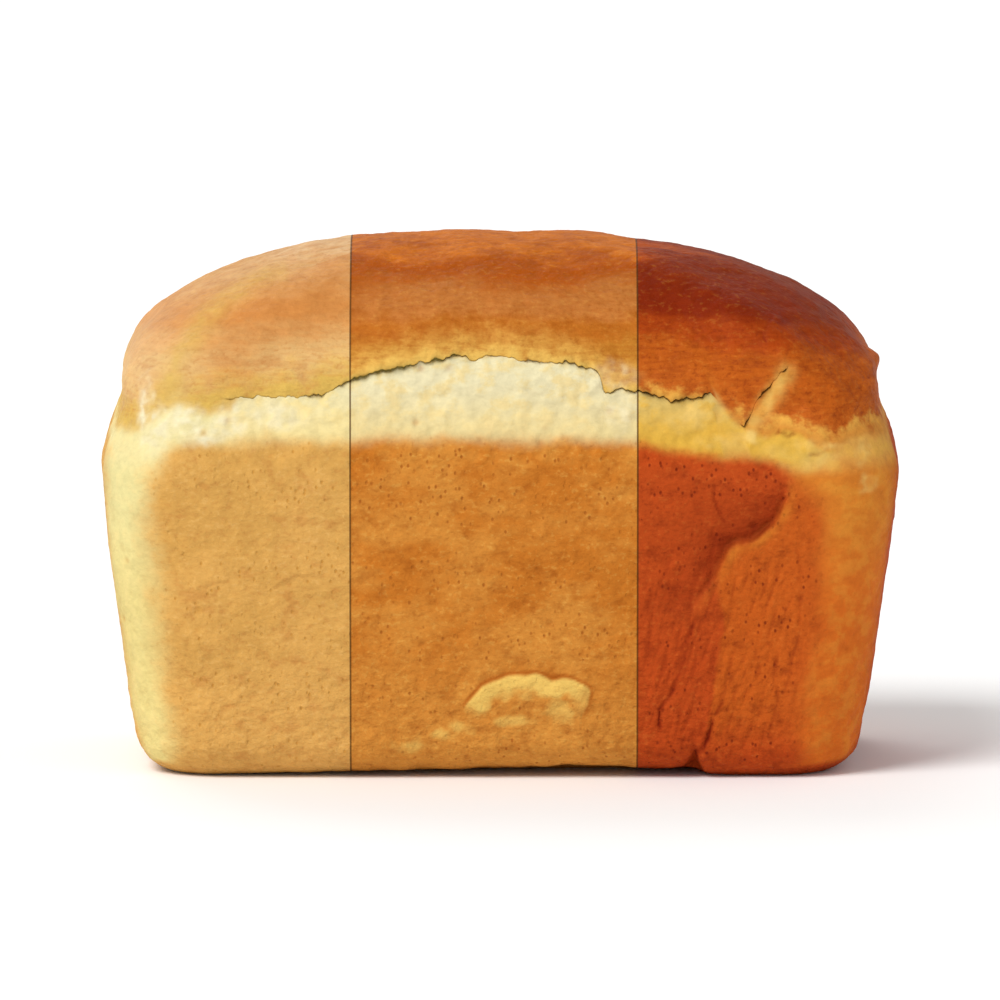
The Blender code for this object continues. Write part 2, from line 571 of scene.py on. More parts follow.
@dataclass(frozen=True)
class TopCrust(BakeMark):
    """The top crust: where it is, how far from the tear and how far up the dome.

    Sizes are in millimetres.
    """

    foot: float = 105.0
    fade: float = 4.0
    end_edge: float = 98.0
    shadow_width: float = 1.2
    # How patchy the painted shadow under the lip is.
    shadow_patchiness: Pair = (0.3, 4.0)
    even_out: float = 6.0
    high: float = 40.0
    all_crust: Pair = (117.0, 120.0)
    edge_wander: Pair = (3.2, 11.0)
    back_corner: Pair = (99.0, 86.0)
    crisper: float = 0.4
    crisper_start: Pair = (66.0, 72.0)
    crisper_end: Pair = (95.0, 80.0)
    faded_edge: Table = (
        (-99.0, 98.0), (-94.0, 102.5), (-88.0, 106.0), (-80.0, 104.0), (-74.0, 105.5),
        (-60.0, 140.0), (50.0, 140.0), (52.0, 112.0), (58.5, 109.0), (62.0, 103.5), (65.0, 100.5),
        (67.6, 98.5), (72.0, 98.3), (78.0, 98.6), (84.0, 97.0), (92.0, 95.0), (99.0, 98.0),
    )
    crown_line: Table = (
        (-105.0, 126.0), (-92.0, 136.0), (-66.0, 142.3), (-40.0, 145.3), (0.0, 146.0),
        (36.0, 145.3), (62.0, 142.8), (88.0, 138.5), (105.0, 131.0),
    )
    grains: Table = ((0.5, 27.0), (0.16, 8.0), (0.04, 1.6))
    grain_start: Pair = (0.0, 3.0)

    def press(self, skin: Skin, noise: DoughNoise) -> None:
        """Marks the crust and gives it the oven's unevenness.

        Args:
            skin: the skin to mark.
            noise: the unevenness of the dough.
        """
        points, notes = skin.points, skin.notes
        height = points[:, 2] / MM
        rise = height - notes["tear"] / MM
        wander, size = self.edge_wander
        uneven = wander * noise.layered(points, size * MM, 3)
        x = points[:, 0] / MM
        edge = read_table(self.faded_edge, x)
        on_front = notes["wall"] == FRONT
        on_back = (notes["wall"] == BACK) * ease(*self.back_corner, np.abs(x))
        elsewhere = self.end_edge + (notes["tear"] / MM - self.end_edge) * on_back
        edge = np.where(on_front, edge, elsewhere)
        crisper = self.crisper * on_front * ease(*self.crisper_start, x)
        fade = self.fade * (1.0 - crisper * ease(*self.crisper_end, x))
        faded = ease(-1.0, 1.0, (height - edge + uneven) / fade)
        faded = np.maximum(faded, ease(*self.all_crust, height))
        crust = np.maximum(faded, notes["above"] * ease(0.0, 1.0, notes["sharp"]))
        skin.add_mark("crust", crust)
        over_course, over_lip = height - notes["course"] / MM, height - notes["lip"] / MM
        over_tear = over_course + (over_lip - over_course) * ease(0.0, self.even_out, over_lip)
        skin.add_mark("rise", np.clip(np.maximum(height - edge, over_tear), 0.0, self.high))
        crown = read_table(self.crown_line, x)
        skin.add_mark("climb", np.clip((height - self.foot) / (crown - self.foot), 0.0, 1.0))
        # Painted shade in the tear's gap, and painted shadow under the top crust's lip beside it.
        skin.add_mark("crack", notes["gap"])
        shadow_patchiness, size = self.shadow_patchiness
        shadow_patchiness = np.clip(notes["open"] + shadow_patchiness * noise.at(points, size * MM), 0.0, 1.0)
        skin.add_mark("shadow", shadow_patchiness * notes["sharp"] * bell(rise, self.shadow_width))
        uneven = sum(high * noise.at(points, size * MM) for high, size in self.grains)
        skin.lift += notes["above"] * ease(*self.grain_start, rise) * uneven * MM


@dataclass(frozen=True)
class Crease(BakeMark):
    """A crease in a wall, where two laps of the shaped dough met.

    Sizes are in millimetres. The lap on the left of the way along the route may stand higher,
    and the dough on its right may be hollow.
    """

    route: Route
    strengths: Table = ((0.0, 0.0), (0.1, 1.0), (0.9, 1.0), (1.0, 0.0))
    depth: float = 0.4
    width: float = 0.55
    raised: float = 0.15
    raised_reach: float = 6.0
    hollow: float = 0.0
    hollow_reach: float = 6.0
    # How dark the groove's painted shade is.
    darkness: float = 1.0
    reaches: float = 4.5
    wander: Table = ((0.5, 3.5), (0.45, 1.5))
    patchiness: Pair = (0.8, 5.0)
    lit_edge: Pair = (1.4, 1.6)
    wall: int = FRONT

    def press(self, skin: Skin, noise: DoughNoise) -> None:
        """Presses the crease in.

        Args:
            skin: the skin to mark.
            noise: the unevenness of the dough.
        """
        across, height, share = skin.on_wall(self.wall)
        low, high = np.min(self.route.points, axis=0), np.max(self.route.points, axis=0)
        margin = self.reaches * max(self.raised_reach, self.hollow_reach, self.width)
        near = np.flatnonzero(
            (share > 0.0)
            & (np.abs(across - (low[0] + high[0]) / 2) < (high[0] - low[0]) / 2 + margin)
            & (np.abs(height - (low[1] + high[1]) / 2) < (high[1] - low[1]) / 2 + margin)
        )
        points = skin.points[near]
        wobble = sum(far * noise.at(points, size * MM) for far, size in self.wander)
        side, along = self.route.measure(across[near] + wobble, height[near] + wobble)
        strength = share[near] * read_table(self.strengths, along)
        patchy, size = self.patchiness
        patchy = np.clip(patchy + patchy * noise.at(points + 0.5, size * MM), 0.2, 1.2)
        inner = np.maximum(side, 0.0) / self.raised_reach
        outer = np.maximum(-side, 0.0) / self.hollow_reach
        raised = self.raised * ease(-0.4, 0.7, side) * np.exp(-inner)
        hollow = ease(0.4, -0.5, side) * np.exp(-outer)
        groove = bell(side, self.width)
        pressed = raised - self.hollow * hollow - self.depth * patchy * groove
        skin.lift[near] += strength * pressed * MM
        # Painted shade: the groove is painted darker, as shade falls in it.
        skin.add_mark("crease", strength * patchy * groove * self.darkness, near)
        # Beside a raised lap: painted shade in the hollow, and a painted highlight on the lap's lit
        # edge.
        if self.hollow:
            skin.add_mark("hollow", strength * hollow, near)
            inside, width = self.lit_edge
            skin.add_mark("lit_edge", strength * patchy * bell(side - inside, width), near)


CREASES = (
    # The shaping fold: its lower right lap stands proud of the hollow beside it.
    Crease(
        Route((
            (77.5, 84.5), (78.0, 79.0), (76.9, 76.2), (75.6, 73.2), (74.5, 71.6), (72.5, 70.2),
            (71.0, 68.8), (69.2, 67.4), (66.0, 67.0), (63.2, 66.0), (62.2, 65.0), (61.5, 62.7),
            (59.9, 60.0), (58.8, 56.9), (54.4, 50.9), (51.5, 46.5),
        )),
        strengths=((0.0, 0.0), (0.14, 0.8), (0.25, 1.0), (0.62, 1.0), (0.72, 0.6), (1.0, 0.0)),
        depth=0.3,
        width=0.6,
        raised=1.2,
        raised_reach=12.0,
        hollow=1.5,
        hollow_reach=7.5,
        darkness=0.7,
    ),
    # The valley that runs from the fold down to the left.
    Crease(
        Route(((62.0, 64.0), (56.0, 57.5), (48.5, 51.5), (40.0, 46.0), (34.0, 44.0))),
        strengths=((0.0, 0.0), (0.25, 1.0), (0.6, 0.8), (1.0, 0.0)), depth=0.6, width=4.0,
        raised=0.0, darkness=0.3,
    ),
    # The seam that runs on from the fold to the nick in the base.
    Crease(Route((
        (53.8, 46.2), (51.4, 39.3), (50.4, 33.7), (48.0, 27.4), (46.4, 23.4), (43.7, 19.9),
        (43.7, 16.0), (44.2, 12.0),
    )), depth=0.4, darkness=1.0),
    Crease(Route((
        (65.3, 44.0), (64.1, 36.8), (62.6, 30.7), (61.5, 24.3), (59.6, 18.9), (58.8, 18.1),
        (57.4, 18.8),
    )), strengths=((0.0, 0.0), (0.5, 0.5), (0.9, 1.0), (1.0, 0.6)), depth=0.35, darkness=0.8),
    Crease(
        Route(((58.1, 17.6), (57.7, 14.1), (56.3, 9.6), (55.5, 7.1), (53.8, 4.2), (53.5, 0.0))),
        strengths=((0.0, 0.0), (0.1, 1.0), (1.0, 1.0)), depth=0.7, raised=0.5, darkness=1.0,
    ),
    # Small cracks where the dough's skin had dried.
    Crease(
        Route(((58.2, 83.5), (58.5, 77.9), (60.4, 75.2), (61.3, 71.1))), depth=0.3, raised=0.0,
        darkness=0.7,
    ),
    Crease(
        Route(((75.5, 97.6), (78.5, 96.0), (80.8, 96.5))), depth=0.4, raised=0.2, darkness=0.7
    ),
    Crease(
        Route(((84.0, 90.6), (87.0, 91.0), (90.6, 92.6))), depth=0.3, raised=0.3, darkness=0.35
    ),
    Crease(
        Route(((75.7, 36.0), (75.9, 24.0), (76.8, 14.0))), depth=0.2, raised=0.0, darkness=0.45
    ),
    Crease(
        Route(((80.8, 66.5), (82.3, 58.0), (81.9, 41.7))), depth=0.2, raised=0.25, darkness=0.4
    ),
    Crease(
        Route(((-84.0, 53.0), (-78.0, 55.5), (-74.5, 56.0))), depth=0.15, raised=0.5,
        raised_reach=3.0, darkness=0.1,
    ),
    Crease(
        Route(((-62.0, 54.5), (-56.0, 57.0), (-48.0, 57.5))), depth=0.15, raised=0.5,
        raised_reach=3.0, darkness=0.1,
    ),
    # Wrinkles at the dome's right shoulder.
    Crease(Route(((76.5, 128.5), (74.0, 126.5), (72.0, 123.0), (73.0, 120.5))), raised=0.4),
    Crease(Route(((76.5, 128.5), (80.5, 127.0), (84.5, 122.5), (85.5, 119.0))), raised=0.4),
    Crease(Route(((86.0, 121.0), (91.0, 119.5), (95.5, 115.5))), raised=0.4, darkness=0.7),
    # Laps on the walls that the front hides.
    Crease(
        Route((
            (-68.0, 88.0), (-64.0, 80.0), (-57.0, 74.0), (-50.0, 71.5), (-44.0, 64.0),
            (-41.0, 52.0), (-36.0, 40.0),
        )),
        depth=0.3, raised=0.8, raised_reach=10.0, hollow=0.7, hollow_reach=6.0, darkness=0.6,
        wall=BACK,
    ),
    Crease(
        Route(((-36.0, 40.0), (-33.0, 28.0), (-33.5, 14.0), (-30.0, 2.0))), depth=0.35,
        darkness=0.7, wall=BACK,
    ),
    Crease(Route(((52.0, 30.0), (58.0, 24.0), (66.0, 22.0))), depth=0.3, raised=0.5, wall=BACK),
    Crease(
        Route(((-24.0, 70.0), (-12.0, 64.0), (4.0, 63.0), (14.0, 57.0))), depth=0.25, raised=0.2,
        raised_reach=9.0, darkness=0.6, wall=RIGHT,
    ),
    Crease(
        Route(((22.0, 48.0), (12.0, 42.0), (-3.0, 41.0), (-14.0, 33.0), (-17.0, 20.0))), depth=0.25,
        raised=0.2, raised_reach=8.0, darkness=0.5, wall=LEFT,
    ),
)


@dataclass(frozen=True)
class Lap(BakeMark):
    """The lap of dough under the fold, which browned less and is finely streaked.

    Sizes are in millimetres. The streaks lean, and lean is how far they go right as they go up.
    """

    edge: Route = Route((
        (84.0, 90.0), (78.0, 79.0), (74.5, 71.6), (69.2, 67.4), (62.2, 65.0), (58.8, 56.9),
        (61.0, 44.0), (58.5, 26.0), (56.3, 9.6), (53.5, -4.0),
    ))
    softness: Pair = (-0.6, 1.2)
    wander: Pair = (0.8, 4.0)
    browned: Pair = (4.0, 22.0)
    middle: Pair = (60.0, 36.0)
    reach: Pair = (26.0, 36.0)
    lean: float = 0.24
    reach_fade: Pair = (1.2, 0.7)
    grain: Triple = (1.3, 1.3, 9.0)
    height: float = 0.2
    darkness: float = 0.45

    def press(self, skin: Skin, noise: DoughNoise) -> None:
        """Marks the lap and draws its streaks.

        Args:
            skin: the skin to mark.
            noise: the unevenness of the dough.
        """
        x, z, share = skin.on_wall(FRONT)
        wander, size = self.wander
        side, _ = self.edge.measure(x + wander * noise.at(skin.points, size * MM), z)
        skin.add_mark("lap", share * ease(*self.softness, side) * ease(*self.browned, z))
        upright = skin.points.copy()
        upright[:, 0] -= self.lean * upright[:, 2]
        streak = noise.at(upright, metres(self.grain))
        away = np.hypot((x - self.middle[0]) / self.reach[0], (z - self.middle[1]) / self.reach[1])
        strength = share * ease(*self.reach_fade, away)
        skin.lift += strength * streak * self.height * MM
        # Painted shade in the streaks' troughs.
        skin.add_mark("wrinkle", self.darkness * strength * ease(0.15, 0.6, -streak))


@dataclass(frozen=True)
class Blister(BakeMark):
    """A thin skin of dough low on the front that rose off the wall, with a sharp upper edge.

    Sizes are in millimetres.
    """

    edge: Route = Route((
        (-11.0, 19.0), (-9.1, 21.9), (-5.0, 26.8), (-1.6, 28.4), (2.0, 29.3), (9.2, 29.6),
        (14.5, 28.6), (19.7, 28.4), (22.6, 27.2), (24.6, 24.2), (24.3, 21.2), (22.8, 17.5),
        (21.0, 12.0), (19.6, 8.0),
    ))
    height: float = 0.8
    reach: float = 10.0
    start: Pair = (0.0, 0.08)
    end: Pair = (0.9, 0.6)
    rim: Pair = (-0.2, 0.9)
    rim_groove: Pair = (0.4, 0.55)
    rim_darkness: float = 0.8
    band: float = 4.8
    band_softness: float = 1.8
    raggedness: Pair = (2.6, 4.5)
    clot_strength: float = 0.6
    clot_edge: Pair = (1.7, 0.2)
    clots: tuple[tuple[float, float, float, float], ...] = (
        (16.5, 19.5, 3.6, 2.6), (-11.5, 15.0, 2.6, 1.8), (-16.0, 12.5, 3.0, 1.4),
        (3.0, 16.5, 4.0, 1.4), (-24.0, 9.0, 4.0, 1.6),
    )

    def press(self, skin: Skin, noise: DoughNoise) -> None:
        """Raises the blister.

        Args:
            skin: the skin to mark.
            noise: the unevenness of the dough.
        """
        x, z, share = skin.on_wall(FRONT)
        wobble = 0.7 * noise.at(skin.points, 4.0 * MM)
        side, along = self.edge.measure(x + wobble, z + wobble)
        inside = np.maximum(-side, 0.0)
        strength = share * ease(*self.start, along) * ease(*self.end, along)
        raised = strength * self.height * ease(*self.rim, -side)
        skin.lift += raised * bell(inside, self.reach) * MM
        outside, width = self.rim_groove
        # Painted shadow: a dark line just outside the blister's raised upper edge.
        skin.add_mark("crease", self.rim_darkness * strength * bell(side - outside, width))
        ragged, size = self.raggedness
        ragged = ragged * noise.layered(skin.points, size * MM, 3)
        # Pale band under the upper edge: the thin skin's own tone, partly a painted highlight.
        pale = strength * ease(-0.2, 0.6, -side)
        softness = self.band_softness
        pale = pale * ease(self.band + softness, self.band - softness, inside + ragged)
        for across, up, wide, high in self.clots:
            away = np.hypot((x - across) / wide, (z - up) / high) + 0.5 * ragged
            pale = np.maximum(pale, self.clot_strength * share * ease(*self.clot_edge, away))
        skin.add_mark("pale", pale)


@dataclass(frozen=True)
class Hem(BakeMark):
    """The front edge of the base, which curled up off the tin's floor and is nicked at the lap.

    Sizes are in millimetres.
    """

    curl: Table = (
        (-88.0, 0.0), (-41.0, 1.1), (0.0, 2.2), (26.0, 3.0), (34.0, 2.8), (40.0, 2.0),
        (47.0, 1.7), (50.5, 2.6), (53.4, 5.0), (54.6, 3.0), (56.0, 0.8), (58.0, 0.3),
        (64.0, 0.0), (95.0, 0.0),
    )
    raggedness: Pair = (0.25, 7.0)
    reach: float = 24.0
    across: Pair = (-26.0, -44.0)

    def press(self, skin: Skin, noise: DoughNoise) -> None:
        """Curls the edge up.

        Args:
            skin: the skin to mark.
            noise: the unevenness of the dough.
        """
        x, y, z = skin.millimetres()
        ragged, size = self.raggedness
        ragged = 1.0 + ragged * noise.at(skin.points, size * MM)
        curl = read_table(self.curl, x) * ragged
        low = np.clip(1.0 - z / self.reach, 0.0, 1.0) ** 2
        skin.points[:, 2] += curl * low * ease(*self.across, y) * MM


@dataclass(frozen=True)
class Pits(BakeMark):
    """The small pits that gas left against the tin and in the crust.

    Sizes are in millimetres.
    """

    spacing: float = 7.5
    width: float = 0.95
    depth: float = 0.42
    deepens: Pair = (0.35, 1.0)
    shallower_above: float = 0.6
    dents: tuple[tuple[float, float, float, float], ...] = (
        (-102.0, 57.8, 1.3, 0.5), (10.4, 72.6, 2.2, 0.45), (11.3, 69.5, 1.6, -0.35),
        (33.0, 55.0, 1.2, 0.3), (-60.0, 66.0, 1.8, 0.3), (-22.0, 21.0, 2.0, 0.4),
        (-66.0, 21.0, 3.0, 0.35), (46.0, 62.0, 1.2, 0.4), (49.5, 57.5, 1.4, 0.45),
        (85.0, 58.0, 2.4, -0.4),
    )

    def press(self, skin: Skin, noise: DoughNoise) -> None:
        """Presses the pits in.

        Args:
            skin: the skin to mark.
            noise: the unevenness of the dough.
        """
        x, z, front = skin.on_wall(FRONT)
        gap, size = noise.scatter(skin.points, self.spacing * MM)
        pit = ease(*self.deepens, size) * bell(gap / MM, self.width)
        for across, up, width, depth in self.dents:
            skin.lift -= front * depth * MM * bell(np.hypot(x - across, z - up), width)
        walls = 1.0 - self.shallower_above * skin.notes["above"]
        skin.lift -= self.depth * MM * pit * walls
        # Painted shade inside the pits.
        skin.add_mark("pit", pit * walls)


@dataclass(frozen=True)
class Wrinkles(BakeMark):
    """The wrinkles at the dome's right shoulder, where the crust dried before it stopped rising.

    Sizes are in millimetres.
    """

    middle: Triple = (84.0, -28.0, 118.0)
    reach: float = 20.0
    grain: Triple = (9.0, 9.0, 2.4)
    height: float = 0.6
    knob: Triple = (104.0, -12.0, 112.0)
    knob_size: Triple = (9.0, 14.0, 2.9)
    knob_height: float = 3.2

    def press(self, skin: Skin, noise: DoughNoise) -> None:
        """Wrinkles the shoulder, and leaves the knob of crust at its end.

        Args:
            skin: the skin to mark.
            noise: the unevenness of the dough.
        """
        near = bell(skin.away_from(self.middle, 1.0), self.reach)
        wrinkle = noise.at(skin.points, metres(self.grain))
        skin.lift += near * wrinkle * self.height * MM
        # Painted shade in the wrinkles' troughs.
        skin.add_mark("wrinkle", near * np.clip(-wrinkle, 0.0, 1.0))
        skin.lift += self.knob_height * MM * bell(skin.away_from(self.knob, self.knob_size), 1.0)


@dataclass(frozen=True)
class Ridge(BakeMark):
    """A pale stretched ridge up the dome's left shoulder. Sizes are in millimetres."""

    route: Route = Route((
        (-93.0, 104.0), (-90.0, 112.0), (-87.0, 119.0), (-83.5, 125.5), (-79.5, 130.0),
        (-76.0, 133.5), (-71.0, 136.5), (-65.0, 139.5), (-58.0, 141.5),
    ))
    width: float = 3.0
    height: float = 0.7
    slant: float = 0.105
    front: float = 60.0
    front_side: Pair = (0.0, -15.0)
    wander: Pair = (1.2, 9.0)
    start: Pair = (0.0, 0.08)
    end: Pair = (1.0, 0.97)
    weakens: float = 0.6
    shade: Pair = (12.0, 9.0)
    blush_and_sheen: float = 0.12
    blush_and_sheen_end: Pair = (-50.0, -75.0)

    def press(self, skin: Skin, noise: DoughNoise) -> None:
        """Raises the ridge.

        Args:
            skin: the skin to mark.
            noise: the unevenness of the dough.
        """
        x, y, z = skin.millimetres()
        seen = z + (y + self.front) * self.slant
        wander, size = self.wander
        side, along = self.route.measure(x + wander * noise.at(skin.points, size * MM), seen)
        front = ease(*self.front_side, y)
        fade = ease(*self.start, along) * (1.0 - self.weakens * along) * front
        strength = fade * bell(side, self.width) * ease(*self.end, along)
        skin.lift += self.height * strength * MM
        skin.add_mark("ridge", strength * (0.8 + 0.4 * noise.at(skin.points, 3.0 * MM)))
        beside = ease(0.1, 0.4, along) * front
        # Painted shade on the dome to the right of the ridge.
        below, width = self.shade
        skin.add_mark("shade", beside * bell(side + below, width))
        # Painted sheen: the dome is painted paler and pinker on the ridge's left side.
        blush_and_sheen = self.blush_and_sheen * ease(0.0, 5.0, side) * beside
        skin.add_mark("blush_and_sheen", blush_and_sheen * ease(*self.blush_and_sheen_end, x))


@dataclass(frozen=True)
class Flush(BakeMark):
    """A patch of the top crust that took another colour than the crust round it; the
    blush_and_sheen patch at the dome's left end is a painted sheen.

    Sizes are in millimetres.
    """

    mark: str
    middle: Triple
    size: Triple
    strength: float
    raggedness: Pair = (0.25, 8.0)

    def press(self, skin: Skin, noise: DoughNoise) -> None:
        """Marks the patch.

        Args:
            skin: the skin to mark.
            noise: the unevenness of the dough.
        """
        away = skin.away_from(self.middle, self.size)
        ragged, size = self.raggedness
        away += ragged * noise.at(skin.points, size * MM)
        skin.add_mark(self.mark, self.strength * bell(away, 1.0) * skin.notes["above"])


FLUSHES = (
    # Painted sheen: the dome's left end, painted paler and pinker where the light grazes it.
    Flush("blush_and_sheen", (-102.0, -25.0, 120.0), (13.0, 60.0, 18.0), 0.4),
    Flush("singe", (92.0, -22.0, 124.0), (24.0, 30.0, 9.0), 0.5),
    Flush("singe", (84.0, 10.0, 134.0), (26.0, 30.0, 9.0), 0.5),
    Flush("singe", (-30.0, 30.0, 138.0), (40.0, 14.0, 8.0), 0.35),
    # A paler patch of crust on the back.
    Flush("blush_and_sheen", (-60.0, 50.0, 118.0), (24.0, 14.0, 7.0), 0.4),
)


@dataclass(frozen=True)
class ShoulderPatches(BakeMark):
    """The pale patches and the pale strip beside the tear's two ends. Sizes in millimetres."""

    strip: Route = Route((
        (67.0, 97.0), (69.3, 99.5), (72.3, 103.3), (75.2, 107.9), (78.0, 112.5), (80.0, 115.5),
        (81.5, 117.5),
    ))
    width: Pair = (2.4, 0.5)
    start: Pair = (0.0, 0.1)
    end: Pair = (0.97, 0.7)
    strip_butter: float = 0.35
    wander: Pair = (1.1, 5.0)
    clot_size: float = 3.2
    patch_wander: float = 1.5
    patch_edge: Pair = (1.7, 0.5)
    patch_height: float = 0.15
    # The patches at the left waist are partly a painted highlight where the light falls brightest.
    patches: tuple[tuple[float, float, float, float, float], ...] = (
        (-97.0, 101.0, 2.2, 7.5, 0.9), (-94.0, 98.0, 3.4, 5.0, 0.7), (-86.0, 101.0, 4.0, 3.0, 0.8),
        (-82.0, 96.5, 6.0, 2.4, 0.9), (-74.0, 100.0, 4.0, 4.0, 0.8), (-62.0, 101.0, 7.0, 3.0, 0.6),
        (32.5, 101.5, 3.2, 4.2, 0.7), (51.5, 101.5, 4.5, 3.2, 0.8), (69.0, 95.8, 3.0, 1.6, 0.9),
        (60.0, 94.0, 6.0, 1.4, 0.5), (86.5, 91.0, 5.0, 3.0, 0.4), (90.0, 93.5, 3.0, 1.2, 0.6),
        (101.0, 83.0, 2.2, 2.4, 0.7), (80.0, 92.5, 7.0, 2.2, 0.35), (99.0, 91.0, 1.6, 3.0, 0.4),
        (31.5, 112.0, 5.5, 3.5, 0.35),
    )

    def press(self, skin: Skin, noise: DoughNoise) -> None:
        """Marks the patches and raises the strip's edge.

        Args:
            skin: the skin to mark.
            noise: the unevenness of the dough.
        """
        x, z, front = skin.on_wall(FRONT)
        wander, size = self.wander
        wobble = wander * noise.layered(skin.points, size * MM, 3)
        clots = noise.layered(skin.points + 1.0, self.clot_size * MM, 2)
        clotted = 0.25 + 0.75 * ease(-0.35, 0.35, clots)
        side, along = self.strip.measure(x + wobble, z)
        width, uneven = self.width
        strip = front * bell(side, width + uneven * wobble) * ease(*self.start, along)
        strip *= ease(*self.end, along)
        skin.add_mark("ridge", strip * (0.75 + 0.25 * clotted))
        skin.add_mark("pale_dough_and_highlight", self.strip_butter * strip * clotted)
        wobble = self.patch_wander * wobble
        for across, up, wide, high, strength in self.patches:
            away = np.hypot((x - across + wobble) / wide, (z - up + wobble) / high)
            patch = front * strength * clotted * ease(*self.patch_edge, away)
            skin.add_mark("pale_dough_and_highlight", patch)
            skin.lift += self.patch_height * MM * patch


@dataclass(frozen=True)
class FlatMap:
    """The flat map of the skin: its four walls, crown and base side by side, in millimetres."""

    sheet: float = 410.0
    gap: float = 3.0
    long_wall: float = 220.0
    short_wall: float = 122.0
    wall_height: float = 148.0
    lid_height: float = 102.0
    crown_length: float = 165.0
    base_length: float = 200.0

    def on_walls(self, walls: Array, start: Array, end: Array, heights: Array) -> Array:
        """Lays the walls' faces on the map.

        Args:
            walls: each column's wall.
            start: where each column starts along its wall, as a share.
            end: where it ends.
            heights: how high each line lies, as a share.

        Returns:
            The corners' places by line and column.
        """
        is_end = walls % 2
        width = np.where(is_end, self.short_wall, self.long_wall)
        left = np.where(is_end, self.long_wall + 2 * self.gap, self.gap)
        floor = np.where(walls >= BACK, self.wall_height + 2 * self.gap, self.gap)
        low = floor + heights[:-1, None] * self.wall_height
        high = floor + heights[1:, None] * self.wall_height
        near, far = left + start * width + 0 * low, left + end * width + 0 * low
        corners = [(near, low), (far, low), (far, high), (near, high)]
        return np.stack([np.stack(corner, axis=-1) for corner in corners], axis=2) / self.sheet

    def on_grid(self, crown: bool, columns: int, rows: int) -> Array:
        """Lays the crown's or the base's faces on the map.

        Args:
            crown: whether this is the crown.
            columns: how many faces there are along X.
            rows: how many there are along Y.

        Returns:
            The four corners' places of each face.
        """
        length = self.crown_length if crown else self.base_length
        left = self.base_length + 2 * self.gap if crown else self.gap
        floor = 2 * self.wall_height + 3 * self.gap
        row, column = np.meshgrid(np.arange(rows), np.arange(columns), indexing="ij")
        corners = [
            (
                left + (column + right) / columns * length,
                floor + (row + up) / rows * self.lid_height,
            )
            for right, up in ((0, 0), (1, 0), (1, 1), (0, 1))
        ]
        places = np.stack([np.stack(corner, axis=-1) for corner in corners], axis=2)
        return places.reshape(-1, 4, 2) / self.sheet


class Bake(Enum):
    """How long the loaf stayed in the oven."""

    LIGHT = "light"
    MEDIUM = "medium"
    DARK = "dark"


@dataclass(frozen=True)
class BakeTone:
    """The colours of one bake, as sRGB hex values.

    Attributes:
        corner: the walls' pale corners, partly a painted highlight; also the painted highlight on
        the lit edge of the fold's lap.
        corner_low: the same below the rim.
        torn: the torn dough near the tear.
        torn_foot: the torn dough near the tin's faces.
        pale_dough_and_highlight: the patches of raw-looking dough that hardly browned; at the
        loaf's left waist they are partly a painted highlight.
        tin: the faces that browned against the tin.
        tin_low: the same near the base, where they browned less evenly.
        lap: the lap under the fold, where the tin's face browned less.
        pale: where a blister thinned the crust, and the light flecks on the tin's fine bumps;
        both are partly a painted highlight.
        lip: the top crust's edge, just over the tear.
        fringe: the crust above the lip.
        crust: the foot of the dome.
        upper: the dome's middle.
        sheen: the band above it; on the medium bake a painted sheen, lighter than the crust round
        it, and on the light and dark bakes a darker band.
        top: the crown's shoulders.
        crown_sheen: the crown, painted lighter than its shoulders: a painted sheen.
        blush_and_sheen: a paler, pinker crust: a painted sheen at the dome's left end and on the
        ridge's left side, and a paler patch on the back.
        singe: where it came nearest to the oven's roof.
        crack: the gap of the tear, in shadow.
        pore: the small holes in the crust, painted dark: the shade inside them.
        scorch_and_shade: the crust's dusky mottles and streaks, and painted shade in creases,
        hollows, wrinkles, the fine bumps' hollows and beside the ridge.
    """

    corner: str
    corner_low: str
    torn: str
    torn_foot: str
    pale_dough_and_highlight: str
    tin: str
    tin_low: str
    lap: str
    pale: str
    lip: str
    fringe: str
    crust: str
    upper: str
    sheen: str
    top: str
    crown_sheen: str
    blush_and_sheen: str
    singe: str
    crack: str
    pore: str
    scorch_and_shade: str


TONES = {
    Bake.LIGHT: BakeTone(
        corner="#dace90", corner_low="#d9c680", torn="#dfd4a8", torn_foot="#e0cc8e",
        pale_dough_and_highlight="#e6dcb8", tin="#ca984e", tin_low="#cf9d54", lap="#d19f56", pale="#ddb877",
        lip="#cda853", fringe="#cda650", crust="#d6ae70", upper="#d09d5f", sheen="#c68748",
        top="#cf9e64", crown_sheen="#d3ad7e", blush_and_sheen="#dcb488", singe="#b87436", crack="#a08c48",
        pore="#bc8438", scorch_and_shade="#c07838",
    ),
    Bake.MEDIUM: BakeTone(
        corner="#d29b44", corner_low="#cf953e", torn="#dfd4ab", torn_foot="#dbc68b",
        pale_dough_and_highlight="#e5dab4", tin="#bc6f24", tin_low="#c8893b", lap="#c8893b", pale="#ddb65e",
        lip="#d8ac54", fringe="#d29f4a", crust="#ba7828", upper="#b5671e", sheen="#b87032",
        top="#a24b08", crown_sheen="#c46c18", blush_and_sheen="#c98a5c", singe="#8f4010", crack="#86783a",
        pore="#9a5219", scorch_and_shade="#a04f10",
    ),
    Bake.DARK: BakeTone(
        corner="#cd7a29", corner_low="#cc6720", torn="#d2ba76", torn_foot="#d0a340",
        pale_dough_and_highlight="#dcb868", tin="#b04618", tin_low="#ab4216", lap="#b9581a", pale="#c67230",
        lip="#d49a42", fringe="#b85c1c", crust="#b45615", upper="#a23e0c", sheen="#7e2404",
        top="#802a06", crown_sheen="#a8480e", blush_and_sheen="#9a4a2c", singe="#7a320c", crack="#5e4418",
        pore="#6b1c0a", scorch_and_shade="#761f08",
    ),
}


